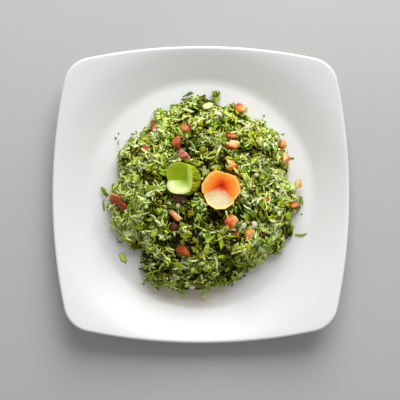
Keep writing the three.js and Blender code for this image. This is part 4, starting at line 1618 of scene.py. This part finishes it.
# %% [markdown]
# Stems are pale, round and stiff, so they stay straighter than the leaf and catch the light as
# thin lines. They are five-sided tubes on an arc.

# %% Stems
def stems(length, width, bend):
    """Tubes that run sideways by the bend times x squared, with five sides and blunt ends."""
    s = np.array([-1, -0.96, -0.5, 0, 0.5, 0.96, 1.0])
    x = length[:, None] / 2 * s
    y = bend[:, None] * (x**2 - length[:, None] ** 2 / 12)
    path = np.stack([x, y, 0 * x], axis=-1)
    turn = np.arange(5) * 2 * np.pi / 5
    section = np.stack([0 * turn, np.cos(turn), np.sin(turn)], axis=-1)
    radius = width[:, None, None, None] / 2
    rings = path[:, 1:-1, None] + radius * section[None, None]
    return np.concatenate([path[:, :1], rings.reshape(len(x), -1, 3), path[:, -1:]], axis=1)


random = np.random.default_rng(8)
STEM_COUNT = 150
shapes = stems(
    random.uniform(6, 16, STEM_COUNT),
    random.uniform(0.7, 1.5, STEM_COUNT),
    random.normal(0, 0.025, STEM_COUNT),
)
laid = spread_over_heap(shapes, random, 1.9, (-0.5, 2.0), pitch=0.3, roll=0.2)
LONG_STEMS = np.array(
    # x, y, length and width in mm, turn in degrees, and bend
    [[-61.9, 29.1, 24, 1.3, 49, 0.038], [-58, 0.5, 17, 1.8, 17, -0.006]]
)
LONG_STEM_LIFT = 4.2
long_ones = stems(LONG_STEMS[:, 2], LONG_STEMS[:, 3], LONG_STEMS[:, 5])
long_ones = lay_flat(long_ones, LONG_STEMS, LONG_STEM_LIFT, random)[0]
laid = np.vstack([laid, long_ones])
tone, fresh = shades_of(laid, 0.7, random, spread=0.1)
build_kind(
    "stems", laid, ring_faces(5, 5), parsley("parsley stems", 0.35, 0.5), tone=tone, fresh=fresh
)

# %% [markdown]
# Cracked wheat that has soaked up lemon and oil shows as small, plump, cream-coloured grains.
# Each is a stretched ball with few sides, which is all that can be seen at two millimetres.

# %% Cracked wheat
random = np.random.default_rng(9)
GRAIN_COUNT = 900
grain_size = random.uniform(1.3, 2.6, (GRAIN_COUNT, 1)) * np.array([1.25, 0.9, 0.75])
grains = blocks(grain_size, ball(3, 6), 2.4, random, 0.12)
laid = spread_over_heap(grains, random, 0.3, (-0.8, 1.4), pitch=1.2, roll=1.5)
laid = laid[random.uniform(0, 1, len(laid)) < 0.8 - emptiness(laid.mean(axis=1))]
wheat = Finish("soaked cracked wheat", Roughness=0.4, Coat_Weight=0.2)
wheat.colour(
    wheat.ramp(
        wheat.stored("tone"), (0.0, 0.34, 0.27, 0.06), (0.5, 0.54, 0.47, 0.17), (1.0, 0.72, 0.67, 0.34)
    )
)
wheat.relief(wheat.noise(1500, 2), 0.0002)
tone = random.uniform(0, 1, (len(laid), 1)) + 0 * laid[..., 0]
build_kind("wheat_grains", laid, ring_faces(3, 6), wheat.material, tone=tone)

# %% [markdown]
# ## Crumbs on the plate
# A few bits always fall beside the heap. They lie flat, so they keep their own small height and
# simply stand on the plate's surface, which rises from the flat floor to the wall.

# %% Height of the plate under a crumb
def plate_height(points):
    """The flat floor, and beyond its edge the height of the dish at that radius."""
    return dish(np.hypot(points[..., 0], points[..., 1]))[0]


CRUMB_GAP = 0.05


def drop_on_plate(shapes, place, turn):
    """Turns flat shapes, moves them over their place and lowers them until they touch."""
    laid = rotate(shapes, 2, turn) + np.hstack([place, np.zeros((len(place), 1))])[:, None]
    gap = (laid[..., 2] - plate_height(laid)).min(axis=1)
    laid[..., 2] += CRUMB_GAP - gap[:, None]
    return laid


print("the plate is", plate_height(np.array([100.0, 0, 0])).round(1), "mm high at the floor's edge")

# %% Two stray scraps
STRAY_SHRED = dict(x=89.1, y=-35.0, turn=4.0, length=12.0, width=2.0)
STRAY_LEAF = dict(x=-69.5, y=-55.2, turn=-62.0, length=12.0, width=5.5)
crumb_green = parsley("fallen parsley", 0.5)


def build_stray(name, shape, faces, stray, node, tone, fresh):
    """A single scrap, dropped at its place, of one shade all over."""
    place = np.array([[stray["x"], stray["y"]]])
    laid = drop_on_plate(shape, place, np.radians([stray["turn"]]))[0]
    even = np.ones(len(laid))
    build(name, laid, faces, crumb_green, node, "loose_parsley", tone=tone * even, fresh=fresh * even)


one = np.ones(1)
shred = ribbons(
    length=STRAY_SHRED["length"] * one,
    width=STRAY_SHRED["width"] * one,
    curl=0.5 * one,
    arch=0.4 * one,
    twist=0.2 * one,
    fold=0.3 * one,
    thickness=0.4,
)
build_stray("fallen_shred", shred, RIBBON_FACES, STRAY_SHRED, "stray_shred", 0.64, 0.7)

# %% Crumbs
CRUMBS = np.array(
    # x, y, length and width in mm, and turn in degrees
    [
        [-75.4, 50.3, 3.1, 1.8, 60],
        [-73.0, 54.3, 1.8, 1.3, 30],
        [56.1, 70.2, 2.2, 1.8, 70],
        [89.8, -17.1, 2.7, 1.8, -45],
        [72.9, 53.8, 3.1, 1.3, 0],
        [80.4, 32.5, 7.1, 1.8, 0],
        [-86.3, -9.6, 9.8, 1.8, 95],
        [-50.8, -78.8, 3.5, 2.2, 40],
        [27.7, -80.1, 3.5, 1.3, 60],
        [7.7, -81.9, 4.4, 1.3, 80],
    ]
)
crumbs = bits(CRUMBS[:, 2], CRUMBS[:, 3], np.random.default_rng(6), 0.3)
laid = drop_on_plate(crumbs, CRUMBS[:, :2], np.radians(CRUMBS[:, 4]))
even = np.ones(laid.shape[:2])
build_kind("crumbs", laid, BIT_FACES, crumb_green, crisp=True, tone=0.55 * even, fresh=0.6 * even)

# %% The stray leaf
leaf = leaf_scraps(
    STRAY_LEAF["length"] * one, STRAY_LEAF["width"] * one, np.random.default_rng(5), thickness=0.5
)
leaf_faces = ring_faces(3, LEAF_COLUMNS)
build_stray("fallen_leaf", leaf, leaf_faces, STRAY_LEAF, "stray_leaf", 0.86, 0.3)

# %% [markdown]
# ## Light, floor and camera
# A dish like this looks its best by one broad window. Here that is a large soft lamp behind it
# and a little to its right, with a faint even light from the sky all round. The floor is plain
# and pale, and the camera looks straight down.

# %% Floor
FLOOR_SIZE = 12
bpy.ops.mesh.primitive_plane_add(size=FLOOR_SIZE, location=(0, 0, -0.2 * MM))
floor = bpy.context.object
floor.name = "floor"
table = Finish("pale table", Roughness=0.6)
table.colour(table.ramp(table.noise(3, 2), (0.3, 0.50, 0.495, 0.485), (0.7, 0.54, 0.535, 0.525)))
floor.data.materials.append(table.material)
print("the floor is", FLOOR_SIZE, "m wide")

# %% Window and sky
WINDOW_AZIMUTH = np.radians(78)
WINDOW_HEIGHT = np.radians(39.5)
WINDOW_DISTANCE = 1.3
WINDOW_POWER = 19.6
SKY_STRENGTH = 0.345
window = bpy.data.lights.new("window", "AREA")
window.shape = "SQUARE"
window.size = 1.0
window.energy = WINDOW_POWER
window.color = (1.0, 0.99, 0.985)
lamp = bpy.data.objects.new("window", window)
direction = Vector(
    (
        np.cos(WINDOW_HEIGHT) * np.cos(WINDOW_AZIMUTH),
        np.cos(WINDOW_HEIGHT) * np.sin(WINDOW_AZIMUTH),
        np.sin(WINDOW_HEIGHT),
    )
)
lamp.location = direction * WINDOW_DISTANCE
lamp.rotation_euler = direction.to_track_quat("Z", "Y").to_euler()
bpy.context.scene.collection.objects.link(lamp)

sky = bpy.data.worlds.new("sky")
sky.use_nodes = True
sky.node_tree.nodes["Background"].inputs["Color"].default_value = (0.97, 0.985, 1.0, 1)
sky.node_tree.nodes["Background"].inputs["Strength"].default_value = SKY_STRENGTH
bpy.context.scene.world = sky
bpy.context.scene.view_settings.view_transform = "Standard"
print("the window's middle is", round(lamp.location.z, 2), "m above the table")

# %% Camera
VIEW_ANGLE = np.radians(21.73)
EYE = (-0.7 * MM, -4.7 * MM, 932 * MM)
camera = bpy.data.cameras.new("camera")
camera.angle = VIEW_ANGLE
eye = bpy.data.objects.new("camera", camera)
eye.location = EYE
bpy.context.scene.collection.objects.link(eye)
bpy.context.scene.camera = eye
print("the camera is", EYE[2], "m above the table")

# %% [markdown]
# The dressed dish must stay inside the measured one.
